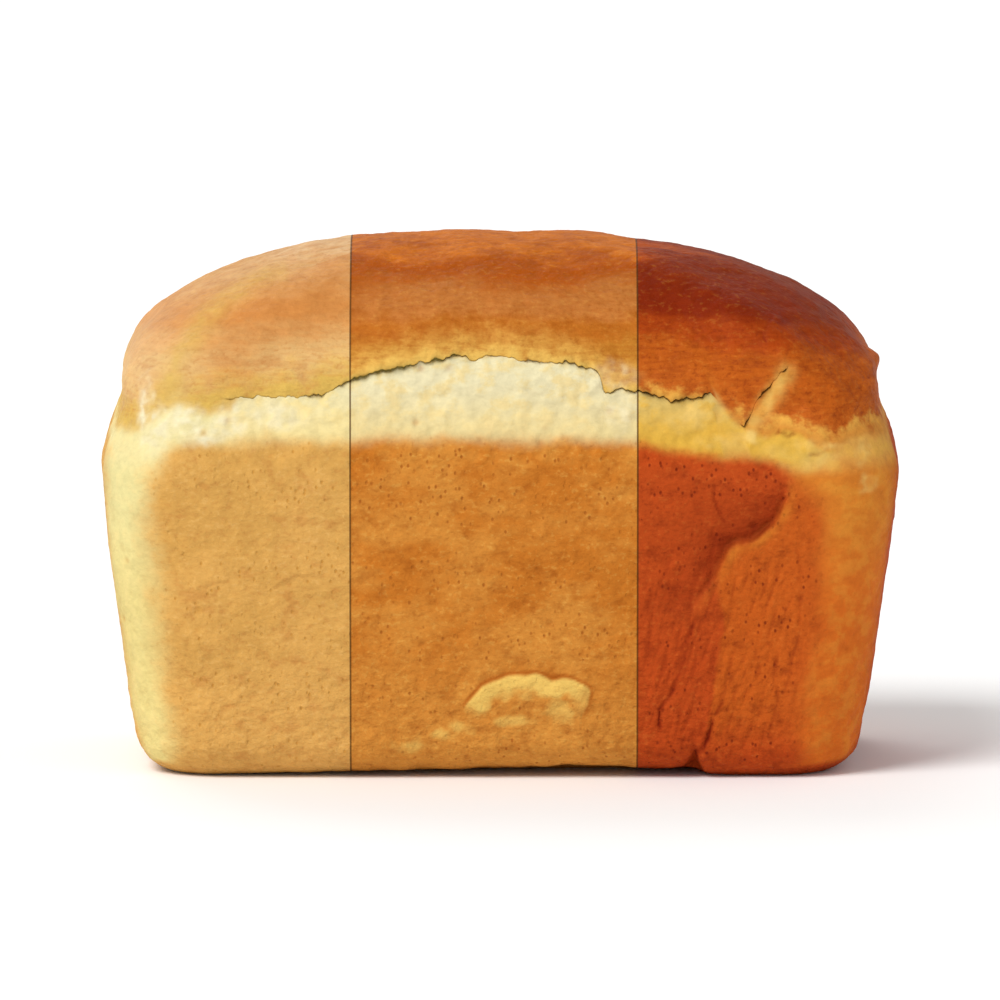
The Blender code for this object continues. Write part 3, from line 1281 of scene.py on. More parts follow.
@dataclass(frozen=True)
class BakeBands:
    """Three bakes side by side on one loaf, as a baker's chart shows them.

    Sizes are in millimetres. With split off, the whole loaf has the one bake named by whole.
    """

    split: bool = True
    whole: Bake = Bake.MEDIUM
    borders: tuple[float, float] = (-41.0, 37.7)
    blend: float = 0.15
    hairline: float = 0.5
    hairline_colour: str = "#4a2c10"
    hairline_strength: float = 0.8


Value = float | tuple[float, ...] | bpy.types.NodeSocket


def add_node(
    tree: bpy.types.NodeTree, kind: str, inputs: dict[int | str, Value], **settings: object
) -> bpy.types.Node:
    """Adds a node with its settings and links.

    Args:
        tree: the material's nodes.
        kind: the node's type.
        inputs: for each input, its value or the output that feeds it.
        settings: the node's own settings.

    Returns:
        The node.
    """
    node = tree.nodes.new(kind)
    for name, setting in settings.items():
        setattr(node, name, setting)
    for name, value in inputs.items():
        if isinstance(value, bpy.types.NodeSocket):
            tree.links.new(value, node.inputs[name])
        else:
            node.inputs[name].default_value = value
    return node


@dataclass(frozen=True)
class Pattern:
    """A pattern in the dough, drawn from its real size.

    Attributes:
        kind: the node that draws it.
        sizes: the size of its lumps along X, Y and Z, in millimetres.
        inputs: the node's inputs.
        outputs: the masks that it gives, each with the node's output.
    """

    kind: str
    sizes: tuple[float, float, float]
    inputs: tuple[tuple[str, float], ...]
    outputs: tuple[tuple[str, str], ...]


@dataclass(frozen=True)
class Layer:
    """One layer of the crust's colour, relief or shade.

    Attributes:
        tone: the colour in BakeTone; empty where the layer has none.
        masks: the masks that limit it.
        strength: how strong it is where all its masks are full.
    """

    tone: str
    masks: tuple[str, ...]
    strength: float = 1.0


# The marks that the skin carries.
MARKS = (
    "tin", "torn", "crust", "rise", "climb", "crack", "crease", "hollow", "lit_edge", "pale",
    "pit", "wrinkle", "ridge", "shade", "pale_dough_and_highlight", "blush_and_sheen", "singe", "shadow", "lap",
)

# Dough blotches over centimetres and mottles over millimetres, as the oven's heat does. Real
# flecks, pores and grit are about half these sizes, and are drawn coarser so that they show
# when the whole loaf fills the view.
PATTERNS = (
    Pattern(
        "ShaderNodeTexNoise", (22.0, 18.0, 14.0),
        (("Scale", 1.0), ("Detail", 3.0), ("Roughness", 0.6)), (("blotch", "Fac"),),
    ),
    Pattern(
        "ShaderNodeTexNoise", (5.6, 5.0, 4.4),
        (("Scale", 1.0), ("Detail", 4.0), ("Roughness", 0.6)), (("mottle", "Fac"),),
    ),
    Pattern(
        "ShaderNodeTexNoise", (1.7, 1.5, 1.2),
        (("Scale", 1.0), ("Detail", 2.0), ("Roughness", 0.6)), (("speckle", "Fac"),),
    ),
    Pattern(
        "ShaderNodeTexNoise", (2.6, 2.4, 2.0),
        (("Scale", 1.0), ("Detail", 2.0), ("Roughness", 0.55)), (("pebble", "Fac"),),
    ),
    Pattern(
        "ShaderNodeTexNoise", (7.0, 7.0, 1.2),
        (("Scale", 1.0), ("Detail", 3.0), ("Roughness", 0.6)), (("drawn", "Fac"),),
    ),
    Pattern(
        "ShaderNodeTexVoronoi", (1.7, 2.0, 2.6),
        (("Scale", 1.0),), (("pore_distance", "Distance"), ("pore_chance", "Color")),
    ),
)

# Sums of masks: name, mask, its factor and the mask that it is added to.
SUMS = (
    ("wavy_rise", "mottle", -14.0, "rise"),
    ("wavy", "blotch", 0.3, "climb"),
    ("wavy_climb", "mottle", 0.14, "wavy"),
    ("tin_edge", "mottle", 0.5, "tin"),
)

# Masks that go smoothly from 0 to 1 as another goes between two values.
SPANS = (
    ("tinned", "tin_edge", 0.22, 1.15),
    ("lipped", "wavy_rise", -3.0, -7.5),
    ("fringed", "wavy_rise", 5.0, -7.0),
    ("high", "wavy_climb", 0.55, 0.7),
    # The band of the dome's painted sheen.
    ("sheen_band", "wavy_climb", 0.73, 0.84),
    ("crowned", "wavy_climb", 0.89, 1.08),
    ("crested", "wavy_climb", 1.1, 1.22),
    ("below_rim", "height", 0.082, 0.045),
    ("foot", "height", 0.112, 0.094),
    ("low", "height", 0.05, 0.0),
    ("blotchy", "blotch", 0.4, 0.62),
    ("patchy", "mottle", 0.44, 0.64),
    ("dusky", "mottle", 0.47, 0.32),
    # Own flecks, plus painted highlight on the fine bumps' tops and painted shade between them.
    ("pale_fleck_and_highlight", "speckle", 0.55, 0.7),
    ("dark_fleck_and_shade", "speckle", 0.45, 0.3),
    ("pore", "pore_distance", 0.3, 0.08),
    ("pored", "pore_chance", 0.3, 0.6),
    ("pored_patch", "blotch", 0.34, 0.56),
    ("streaky", "drawn", 0.42, 0.62),
)

# The colour, layer over layer, on the pale dough of the corners.
LAYERS = (
    Layer("corner_low", ("below_rim",)),
    Layer("torn_foot", ("patchy",), 0.2),
    Layer("tin", ("dusky",), 0.12),
    Layer("torn", ("torn",)),
    Layer("torn_foot", ("torn", "foot")),
    Layer("torn_foot", ("torn", "patchy"), 0.8),
    Layer("tin", ("tinned",)),
    Layer("tin_low", ("tinned", "blotchy"), 0.6),
    Layer("tin_low", ("tinned", "low"), 0.8),
    Layer("lap", ("tinned", "lap"), 0.8),
    # Painted highlight and shade on the tin faces' fine bumps, with their own flecks.
    Layer("pale", ("tinned", "pale_fleck_and_highlight"), 0.16),
    Layer("scorch_and_shade", ("tinned", "dark_fleck_and_shade"), 0.2),
    Layer("scorch_and_shade", ("tinned", "dusky"), 0.3),
    # Painted shade inside the small pores that the relief presses in.
    Layer("pore", ("tinned", "pore", "pored", "pored_patch"), 0.8),
    Layer("pale", ("pale",)),
    Layer("crust", ("crust",)),
    Layer("upper", ("crust", "high")),
    # Painted sheen band across the dome; on the light and dark bakes a darker band.
    Layer("sheen", ("crust", "sheen_band")),
    Layer("top", ("crust", "crowned")),
    # Painted sheen on the crown.
    Layer("crown_sheen", ("crust", "crested")),
    Layer("fringe", ("crust", "fringed")),
    # Painted highlight and shade on the crust's fine bumps, with its own flecks.
    Layer("lip", ("crust", "pale_fleck_and_highlight"), 0.11),
    Layer("scorch_and_shade", ("crust", "dark_fleck_and_shade"), 0.3),
    Layer("scorch_and_shade", ("crust", "dusky"), 0.25),
    Layer("scorch_and_shade", ("crust", "streaky"), 0.25),
    Layer("lip", ("crust", "lipped")),
    Layer("lip", ("ridge",), 0.9),
    # Painted sheen at the dome's left end and beside the ridge; a paler patch on the back.
    Layer("blush_and_sheen", ("blush_and_sheen",)),
    Layer("singe", ("singe",)),
    # Pale dough, and at the left waist partly a painted highlight.
    Layer("pale_dough_and_highlight", ("pale_dough_and_highlight",)),
    # Painted shade in the hollow beside the fold's raised lap.
    Layer("scorch_and_shade", ("hollow",), 0.8),
    # Painted highlight on the lit edge of the fold's lap.
    Layer("corner", ("lit_edge",), 0.5),
    # Painted shade on the dome beside the ridge.
    Layer("scorch_and_shade", ("shade",), 0.5),
    # Painted shade in the troughs of the wrinkles and of the lap's streaks.
    Layer("scorch_and_shade", ("wrinkle",), 0.7),
    # Painted shade inside the pits.
    Layer("pore", ("pit",), 0.5),
    # Painted shade in the creases' grooves and along the blister's upper edge.
    Layer("scorch_and_shade", ("crease",), 0.95),
    Layer("crack", ("shadow",), 0.55),
    Layer("crack", ("crack",), 0.9),
)

# The fine relief, in millimetres: rougher near the base, where the dough met the tin's floor.
RELIEF = (
    Layer("", ("pebble", "tinned"), 0.34),
    Layer("", ("pebble", "low"), 0.45),
    Layer("", ("pebble",), 0.15),
    Layer("", ("pebble", "crust"), 0.2),
    Layer("", ("speckle",), 0.12),
    Layer("", ("speckle", "crust"), 0.12),
    Layer("", ("mottle",), 0.5),
    Layer("", ("drawn", "crust"), 0.15),
    Layer("", ("pore", "pored", "tinned"), -0.15),
)

# How unevenly light or dark the colour is.
SHADES = (
    Layer("", ("blotch",), 0.25),
    Layer("", ("mottle",), 0.35),
    Layer("", ("speckle",), 0.2),
)


@dataclass(frozen=True)
class CrustFinish:
    """Baked white-bread crust: dry, browned by the tin and the oven, and faintly glossy on top.

    Browning makes most of the colour, so it goes by where the dough touched the tin, where it tore
    and how near it was to the oven's roof. Over it lie painted shade in the creases, hollows,
    wrinkles, pits and the tear, and painted highlights and sheen on the crown, the dome and the
    fine bumps. Egg-free crust that rose in the open sets to a thin skin with a satin gloss. The tin
    leaves a duller, finely grained face, and torn dough is matt.
    Sizes are in millimetres.
    """

    bands: BakeBands = BakeBands()
    tin_roughness: float = 0.62
    top_roughness: float = 0.5
    torn_roughness: float = 0.88
    uneven_roughness: float = 0.12
    ior: float = 1.45
    gloss: float = 0.05

    def make(self) -> bpy.types.Material:
        """Makes the material.

        Returns:
            The baked crust.
        """
        material = bpy.data.materials.new("baked_bread_crust")
        material.use_nodes = True
        tree = material.node_tree
        tree.nodes.clear()
        masks = self.masks(tree)
        grain = add_node(
            tree, "ShaderNodeBump",
            {"Height": self.relief(tree, masks), "Distance": MM, "Strength": 1.0},
        )
        shader = add_node(
            tree, "ShaderNodeBsdfPrincipled",
            {
                "Base Color": self.colour(tree, masks),
                "Roughness": self.roughness(tree, masks),
                "IOR": self.ior,
                "Specular IOR Level": self.gloss,
                "Normal": grain.outputs["Normal"],
            },
        )
        add_node(tree, "ShaderNodeOutputMaterial", {"Surface": shader.outputs["BSDF"]})
        return material

    def masks(self, tree: bpy.types.NodeTree) -> dict[str, Value]:
        """Reads the marks of the bake, and adds the mottling that no mark gives.

        Args:
            tree: the material's nodes.

        Returns:
            The masks by name.
        """
        place = add_node(tree, "ShaderNodeTexCoord", {}).outputs["Object"]
        axes = add_node(tree, "ShaderNodeSeparateXYZ", {0: place})
        masks: dict[str, Value] = {
            name: add_node(tree, "ShaderNodeAttribute", {}, attribute_name=name).outputs["Fac"]
            for name in MARKS
        }
        masks.update(along=axes.outputs["X"], height=axes.outputs["Z"])
        for pattern in PATTERNS:
            scale = tuple(1.0 / (size * MM) for size in pattern.sizes)
            scaled = add_node(
                tree, "ShaderNodeVectorMath", {0: place, 1: scale}, operation="MULTIPLY"
            )
            node = add_node(
                tree, pattern.kind, {"Vector": scaled.outputs["Vector"], **dict(pattern.inputs)}
            )
            for name, output in pattern.outputs:
                masks[name] = node.outputs[output]
        for name, source, factor, added in SUMS:
            masks[name] = add_node(
                tree, "ShaderNodeMath", {0: masks[source], 1: factor, 2: masks[added]},
                operation="MULTIPLY_ADD",
            ).outputs[0]
        for name, source, low, high in SPANS:
            masks[name] = add_node(
                tree, "ShaderNodeMapRange",
                {"Value": masks[source], "From Min": low, "From Max": high},
                interpolation_type="SMOOTHSTEP",
            ).outputs["Result"]
        return masks

    def shares(
        self, tree: bpy.types.NodeTree, masks: dict[str, Value], layers: tuple[Layer, ...]
    ) -> list[Value]:
        """How strong each layer is: its strength times all of its masks.

        Args:
            tree: the material's nodes.
            masks: the masks by name.
            layers: the layers.

        Returns:
            One share for each layer.
        """
        shares = []
        for layer in layers:
            share: Value = layer.strength
            for name in layer.masks:
                share = add_node(
                    tree, "ShaderNodeMath", {0: share, 1: masks[name]}, operation="MULTIPLY"
                ).outputs[0]
            shares.append(share)
        return shares

    def relief(self, tree: bpy.types.NodeTree, masks: dict[str, Value]) -> Value:
        """The fine relief that is smaller than the skin's own faces.

        Args:
            tree: the material's nodes.
            masks: the masks by name.

        Returns:
            Its height, in millimetres.
        """
        height: Value = 0.0
        for share in self.shares(tree, masks, RELIEF):
            height = add_node(tree, "ShaderNodeMath", {0: height, 1: share}).outputs[0]
        return height

    def colour(self, tree: bpy.types.NodeTree, masks: dict[str, Value]) -> Value:
        """Builds up each bake's colour layer by layer, and picks the bake along the loaf.

        Args:
            tree: the material's nodes.
            masks: the masks by name.

        Returns:
            The crust's colour.
        """
        bands = self.bands
        shares = self.shares(tree, masks, LAYERS)
        mixes: list[tuple[Value, Value]] = []
        for bake in Bake if bands.split else (bands.whole,):
            tone = TONES[bake]
            toned: Value = linear(tone.corner)
            for layer, share in zip(LAYERS, shares):
                toned = add_node(
                    tree, "ShaderNodeMix",
                    {0: share, 6: toned, 7: linear(getattr(tone, layer.tone))}, data_type="RGBA",
                ).outputs[2]
            mixes.append((1.0, toned))
        for index, border in enumerate(bands.borders if bands.split else ()):
            past = add_node(
                tree, "ShaderNodeMapRange",
                {
                    "Value": masks["along"],
                    "From Min": (border - bands.blend) * MM,
                    "From Max": (border + bands.blend) * MM,
                },
            ).outputs["Result"]
            line = add_node(
                tree, "ShaderNodeMath",
                {0: masks["along"], 1: border * MM, 2: bands.hairline / 2 * MM},
                operation="COMPARE",
            ).outputs[0]
            faint = add_node(
                tree, "ShaderNodeMath", {0: line, 1: bands.hairline_strength}, operation="MULTIPLY"
            ).outputs[0]
            mixes[index + 1] = (past, mixes[index + 1][1])
            mixes.append((faint, linear(bands.hairline_colour)))
        colour = mixes[0][1]
        for share, added in mixes[1:]:
            colour = add_node(
                tree, "ShaderNodeMix", {0: share, 6: colour, 7: added}, data_type="RGBA"
            ).outputs[2]
        light: Value = 1.0 - sum(layer.strength for layer in SHADES) / 2
        for share in self.shares(tree, masks, SHADES):
            light = add_node(tree, "ShaderNodeMath", {0: light, 1: share}).outputs[0]
        return add_node(
            tree, "ShaderNodeHueSaturation", {"Value": light, "Color": colour}
        ).outputs["Color"]

    def roughness(self, tree: bpy.types.NodeTree, masks: dict[str, Value]) -> Value:
        """The roughness: dull on the tin's faces, satin on the top crust, matt where torn.

        Args:
            tree: the material's nodes.
            masks: the masks by name.

        Returns:
            The roughness.
        """
        value: Value = self.tin_roughness
        for level, name in (
            (self.torn_roughness, "torn"), (self.top_roughness, "crust"),
            (self.torn_roughness, "crack"),
        ):
            value = add_node(tree, "ShaderNodeMix", {0: masks[name], 2: value, 3: level}).outputs[0]
        return add_node(
            tree, "ShaderNodeMath", {0: masks["mottle"], 1: self.uneven_roughness, 2: value},
            operation="MULTIPLY_ADD",
        ).outputs[0]


@dataclass
class TinLoaf:
    """The loaf: its form, its marks and its crust.

    The box comes from the frame, and the other sizes are the loaf's own.
    """

    low: Vector
    high: Vector
    base_length_share: float = 0.90
    base_width_share: float = 0.852
    rim_height: float = 84.0 * MM
    edge_radius: float = 10.0 * MM
    corner_radius: float = 20.0 * MM
    wall_curve: float = 1.25
    base_shift: float = -0.6 * MM
    bow: float = 1.5 * MM
    shoulder_inset: float = 5.5 * MM
    climb_power: float = 1.95
    long_power: float = 2.45
    cross_power: float = 2.1
    lean: float = 3.5 * MM
    crown_corner_share: float = 0.95
    cap_spread: float = 0.75

    long_columns: int = 440
    short_columns: int = 236
    edge_lines: int = 16
    wall_lines: int = 140
    shoulder_lines: int = 60
    dome_lines: int = 80
    dome_crowding: float = 1.25
    overhang_ends: Pair = (1.0, 0.6)
    least_line: float = 0.4 * MM

    tear: Tear = Tear()
    noise: DoughNoise = field(default_factory=lambda: DoughNoise(7))
    marks: tuple[BakeMark, ...] = (
        TinFaces(), TornDough(), TopCrust(), *CREASES, Lap(), Blister(), Ridge(),
        Wrinkles(), *FLUSHES, ShoulderPatches(), Pits(), Hem(),
    )
    finish: CrustFinish = CrustFinish()

    @property
    def size(self) -> Vector:
        """The box's sides."""
        return self.high - self.low

    # ---- the form ----

    def outline(
        self, half_length: Array, half_width: Array, corner: Array, wall: Array, place: Array
    ) -> tuple[Array, Array, Array, Array]:
        """Points on a rounded rectangle seen from above.

        Args:
            half_length: half its size along X.
            half_width: half its size along Y.
            corner: its corner radius.
            wall: the wall that each point is on.
            place: how far along that wall, from -1 to 1, where 1 is the middle of the corner.

        Returns:
            X, Y, and the outward direction's X and Y.
        """
        on_long = wall % 2 == 0
        run = np.where(on_long, half_length, half_width) - corner
        reach = np.where(on_long, half_width, half_length) - corner
        walked = np.abs(place) * (run + corner * math.pi / 4)
        turn = np.clip((walked - run) / np.maximum(corner, TINY), 0.0, math.pi / 4)
        side = np.sign(place)
        along = side * (np.minimum(walked, run) + corner * np.sin(turn))
        out = reach + corner * np.cos(turn)
        along, out, sideways, outwards, wall = np.broadcast_arrays(
            along, out, side * np.sin(turn), np.cos(turn), wall
        )
        return (
            np.choose(wall, [along, out, -along, -out]),
            np.choose(wall, [-out, along, out, -along]),
            np.choose(wall, [sideways, outwards, -sideways, -outwards]),
            np.choose(wall, [-outwards, sideways, outwards, -sideways]),
        )

    def extents(self, z: Array, lip: Array) -> tuple[Array, Array, Array, Array]:
        """The loaf's level section at some heights.

        Args:
            z: the heights.
            lip: the height of the dome's foot there.

        Returns:
            Half the length, half the width, the corner radius and the share of the dome climbed.
        """
        roll = 1.0 - (1.0 - np.clip(z / self.rim_height, 0.0, 1.0)) ** self.wall_curve
        inset = self.bow + self.shoulder_inset * ease(self.rim_height, lip, z)
        climb = np.clip((z - lip) / (self.size.z - lip), 0.0, 1.0)
        left = np.maximum(1.0 - climb**self.climb_power, 0.0)
        long_share = self.base_length_share + (1.0 - self.base_length_share) * roll
        wide_share = self.base_width_share + (1.0 - self.base_width_share) * roll
        half_length = (self.size.x / 2 * long_share - inset) * left ** (1 / self.long_power)
        half_width = (self.size.y / 2 * wide_share - inset) * left ** (1 / self.cross_power)
        foot_share = self.corner_radius / (self.size.y / 2 - inset)
        corner_share = foot_share + (self.crown_corner_share - foot_share) * climb
        corner = np.where(climb > 0.0, half_width * corner_share, self.corner_radius)
        return half_length, half_width, corner, climb

    def place_points(
        self,
        z: Array,
        extents: tuple[Array, Array, Array, Array],
        wall: Array,
        place: Array,
        out: Array,
    ) -> Array:
        """Puts points on the loaf's level sections.

        Args:
            z: their heights.
            extents: the level section at each, from extents().
            wall: the wall that each is on.
            place: how far along that wall.
            out: how far each stands out from the section.

        Returns:
            The points, with the walls' bow and the crown's lean.
        """
        half_length, half_width, corner, climb = extents
        x, y, out_x, out_y = self.outline(half_length, half_width, corner, wall, place)
        along = x / np.maximum(half_length, TINY)
        across = y / np.maximum(half_width, TINY)
        bow = self.bow * np.minimum(half_width / (self.size.y / 2), 1.0)
        x = x + along * bow * (1.0 - across**2) + out_x * out - self.lean * climb
        x = x + self.base_shift * np.clip(1.0 - z / self.rim_height, 0.0, 1.0)
        y = y + across * bow * (1.0 - along**2) + out_y * out
        x, y, z = np.broadcast_arrays(x, y, z)
        return np.stack([x, y, z], axis=-1)

    @staticmethod
    def walls_of(u: Array, v: Array) -> tuple[Array, Array, Array]:
        """Reads a square grid as walls and places along them.

        Args:
            u: places across the square along X, from -1 to 1.
            v: places across it along Y, from -1 to 1.

        Returns:
            How far out each is, its wall, and its place along that wall.
        """
        spread = np.maximum(np.maximum(np.abs(u), np.abs(v)), TINY)
        long_side = np.abs(v) >= np.abs(u)
        wall = np.where(
            long_side, np.where(v < 0, FRONT, BACK), np.where(u > 0, RIGHT, LEFT)
        )
        place = np.choose(wall, [u, v, -u, -v]) / spread
        return spread, wall, place

    def columns(self) -> Columns:
        """Lays out the columns and the tear across them.

        Returns:
            The columns.
        """
        steps = np.arange(self.long_columns) * 2 / self.long_columns - 1
        ends = np.arange(self.short_columns) * 2 / self.short_columns - 1
        wall = np.repeat([FRONT, RIGHT, BACK, LEFT], [len(steps), len(ends)] * 2)
        place = np.concatenate([steps, ends, steps, ends])
        tear = self.tear
        start = np.full(len(wall), tear.end_height * MM)
        extents = self.extents(start, start)
        outline = self.place_points(start, extents, wall, place, np.zeros(len(wall)))
        x = outline[:, 0] / MM
        on_front = wall == FRONT
        route = read_table(tear.front_route, x)
        arch = tear.back_arch * (1.0 - (outline[:, 0] / extents[0]) ** 2) ** 2
        course = np.select(
            [on_front, wall == BACK], [route, tear.end_height + arch], tear.end_height
        )
        lip = self.smoothed(course * MM, tear.smooth_over)
        ragged = sum(high * self.noise.at(outline, size * MM) for high, size in tear.grains)
        sharp = np.where(on_front, read_table(tear.front_sharp, x), 0.0)
        width = np.where(on_front, read_table(tear.front_gap, x), 0.0)
        uneven, size = tear.gap_grain
        width = width * np.clip(1.0 + uneven * self.noise.at(outline + 1.0, size * MM), 0.0, 2.0)
        back = ease(*tear.back_reach, np.abs(place)) * (wall == BACK)
        width = np.maximum(width, tear.back_gap * back)
        gap = ease(0.0, tear.full_gap, width)
        middle = 1.0 - (outline[:, 0] / extents[0]) ** 2
        lifted = tear.least_lift + (1.0 - tear.least_lift) * gap
        front = sharp * lifted * np.sqrt(middle)
        return Columns(
            wall=wall,
            place=place,
            tear=(course + ragged * np.maximum(sharp, tear.back_raggedness * back)) * MM,
            course=self.smoothed(course * MM, tear.course_over),
            lip=lip,
            gap=gap,
            width=width,
            overhang=tear.overhang * np.where(on_front, front, tear.back_overhang * back),
            sharp=sharp,
        )

    def smoothed(self, values: Array, over: float) -> Array:
        """Smooths values round the columns.

        Args:
            values: one value per column.
            over: the length round the loaf that each is smoothed over.

        Returns:
            The smoothed values.
        """
        spacing = 2 * (self.size.x + self.size.y) / len(values)
        waves = np.fft.rfftfreq(len(values))
        blur = np.exp(-2.0 * (math.pi * waves * over / spacing) ** 2)
        return np.fft.irfft(np.fft.rfft(values) * blur, len(values))

    def wall_block(self, columns: Columns) -> tuple[Array, dict[str, Array]]:
        """The points of the lines that run round the loaf, from the base's edge to the cap.

        Args:
            columns: the columns.

        Returns:
            The points by line and column, and for each the notes that the marks need.
        """
        tear = self.tear
        count = len(columns.place)
        turn = np.arange(self.edge_lines) / self.edge_lines * math.pi / 2
        edge = self.edge_radius * (1.0 - np.cos(turn))
        walls = np.linspace(self.edge_radius, self.rim_height, self.wall_lines, endpoint=False)
        rows = np.concatenate([edge, walls])[:, None] + np.zeros(count)
        shut, gaping = np.array(tear.shut_heights), np.array(tear.open_heights)
        spread = shut[:, None] + (gaping - shut)[:, None] * columns.gap
        spread = spread * np.where(columns.gap > 0, np.maximum(columns.width, tear.full_gap), 1.0)
        seam = columns.tear + spread * MM
        share = np.arange(self.shoulder_lines)[:, None] / self.shoulder_lines
        shoulder = self.rim_height + (seam[0] - self.rim_height) * share
        top = columns.lip + (self.size.z - columns.lip) * self.cap_climb()
        share = np.arange(1, self.dome_lines + 1)[:, None] / self.dome_lines
        dome = seam[-1] + (top - seam[-1]) * (1.0 - (1.0 - share) ** self.dome_crowding)
        z = np.concatenate([rows, shoulder, seam, dome])
        out = np.zeros(z.shape)
        out[: self.edge_lines] = -self.edge_radius * (1.0 - np.sin(turn))[:, None]
        first = len(rows) + self.shoulder_lines
        last = first + len(seam)
        gaps = np.array(tear.gap_shares)[:, None] * columns.gap
        lips = np.array(tear.lip_shares)[:, None] * columns.overhang
        out[first:last] = lips - gaps * tear.depth
        even = self.smoothed(columns.overhang, tear.smooth_over)
        over = dome - seam[-1]
        out[last:] = even * np.exp(-over / tear.overhang_reach)
        out[last:] += (columns.overhang - even) * np.exp(-over / tear.ragged_reach)
        out[last:] *= ease(*self.overhang_ends, share)
        points = self.place_points(
            z, self.extents(z, columns.lip), columns.wall, columns.place, out
        )
        above = np.zeros(z.shape)
        above[first + tear.lines_below :] = 1.0
        gap = np.zeros(z.shape)
        gap[first:last] = gaps
        notes = {
            "tear": columns.tear + np.zeros(z.shape),
            "course": columns.course + np.zeros(z.shape),
            "lip": columns.lip + np.zeros(z.shape),
            "sharp": columns.sharp + np.zeros(z.shape),
            "above": above,
            "gap": gap,
            "open": np.minimum(columns.width, 1.0) + np.zeros(z.shape),
            "wall": columns.wall + np.zeros(z.shape, int),
        }
        return points, notes

    def cap_climb(self) -> float:
        """How far up the dome the cap begins."""
        return (1.0 - self.cap_spread**self.long_power) ** (1.0 / self.climb_power)

    def grid_block(self, columns: Columns, crown: bool) -> tuple[Array, dict[str, Array]]:
        """The inner points of the grid that closes the crown or the base.

        Args:
            columns: the columns that the grid meets at its rim.
            crown: whether this is the crown and not the base.

        Returns:
            The points by row and column of the grid, and the notes that the marks need.
        """
        u, v = np.meshgrid(
            np.arange(1, self.long_columns) * 2 / self.long_columns - 1,
            np.arange(1, self.short_columns) * 2 / self.short_columns - 1,
        )
        spread, wall, place = self.walls_of(u, v)
        counts = np.array([self.long_columns, self.short_columns] * 2)
        starts = np.concatenate([[0], np.cumsum(counts)[:-1]])
        index = starts[wall] + (place + 1) / 2 * counts[wall]
        lip = np.interp(index, np.arange(len(columns.lip)), columns.lip, period=counts.sum())
        if crown:
            share = 1.0 - (self.cap_spread * spread) ** self.long_power
            z = lip + (self.size.z - lip) * share ** (1.0 / self.climb_power)
            extents = self.extents(z, lip)
        else:
            z = np.zeros(lip.shape)
            half_length, half_width, corner, climb = self.extents(z, lip)
            edge = self.edge_radius
            extents = (
                (half_length - edge) * spread,
                (half_width - edge) * spread,
                (corner - edge) * spread,
                climb,
            )
        points = self.place_points(z, extents, wall, place, np.zeros(z.shape))
        notes = {
            "tear": lip,
            "course": lip,
            "lip": lip,
            "sharp": np.zeros(z.shape),
            "above": np.full(z.shape, float(crown)),
            "gap": np.zeros(z.shape),
            "open": np.zeros(z.shape),
            "wall": wall,
        }
        return points, notes

    # ---- the skin ----

    def join_blocks(
        self, shapes: list[tuple[int, int]], heights: Array
    ) -> tuple[Array, Array]:
        """Joins the wall block, the crown's grid and the base's grid into one closed net.

        Args:
            shapes: how many lines and columns each block's points have, in that order.
            heights: where each line of the walls lies on the flat map.

        Returns:
            The faces, and each face corner's place on the flat map.
        """
        (lines, count), (rows, places), _ = shapes
        flat = FlatMap()
        line, column = np.meshgrid(np.arange(lines - 1), np.arange(count), indexing="ij")
        following = (column + 1) % count
        faces = np.stack(
            [
                line * count + column,
                line * count + following,
                (line + 1) * count + following,
                (line + 1) * count + column,
            ],
            axis=-1,
        )
        counts = np.array([self.long_columns, self.short_columns] * 2)
        walls = np.repeat(np.arange(4), counts)
        starts = np.concatenate([[0], np.cumsum(counts)[:-1]])
        share = (np.arange(count) - starts[walls]) / counts[walls]
        maps = flat.on_walls(walls, share, share + 1.0 / counts[walls], heights)
        all_faces, all_maps = [faces.reshape(-1, 4)], [maps.reshape(-1, 4, 2)]
        for crown in (True, False):
            ring = (lines - 1) * count if crown else 0
            first = lines * count + (0 if crown else rows * places)
            net = self.net_of_grid(ring, first, count)
            corners = [net[:-1, :-1], net[:-1, 1:], net[1:, 1:], net[1:, :-1]]
            grid_faces = np.stack(corners, axis=-1).reshape(-1, 4)
            grid_maps = flat.on_grid(crown, self.long_columns, self.short_columns)
            if not crown:
                grid_faces, grid_maps = grid_faces[:, ::-1], grid_maps[:, ::-1]
            all_faces.append(grid_faces)
            all_maps.append(grid_maps)
        return np.concatenate(all_faces), np.concatenate(all_maps)

    def net_of_grid(self, ring: int, first: int, count: int) -> Array:
        """Numbers the points of a grid that a ring of the walls borders.

        Args:
            ring: the number of the ring's first point.
            first: the number of the grid's first inner point.
            count: how many points the ring has.

        Returns:
            The points' numbers by row and column, with the ring as the border.
        """
        rows, places = self.short_columns, self.long_columns
        net = np.empty((rows + 1, places + 1), int)
        net[1:-1, 1:-1] = first + np.arange((rows - 1) * (places - 1)).reshape(rows - 1, -1)
        net[0, :] = ring + np.arange(places + 1)
        net[:, -1] = ring + places + np.arange(rows + 1)
        net[-1, :] = ring + places + rows + np.arange(places, -1, -1)
        net[:, 0] = ring + (2 * places + rows + np.arange(rows, -1, -1)) % count
        return net

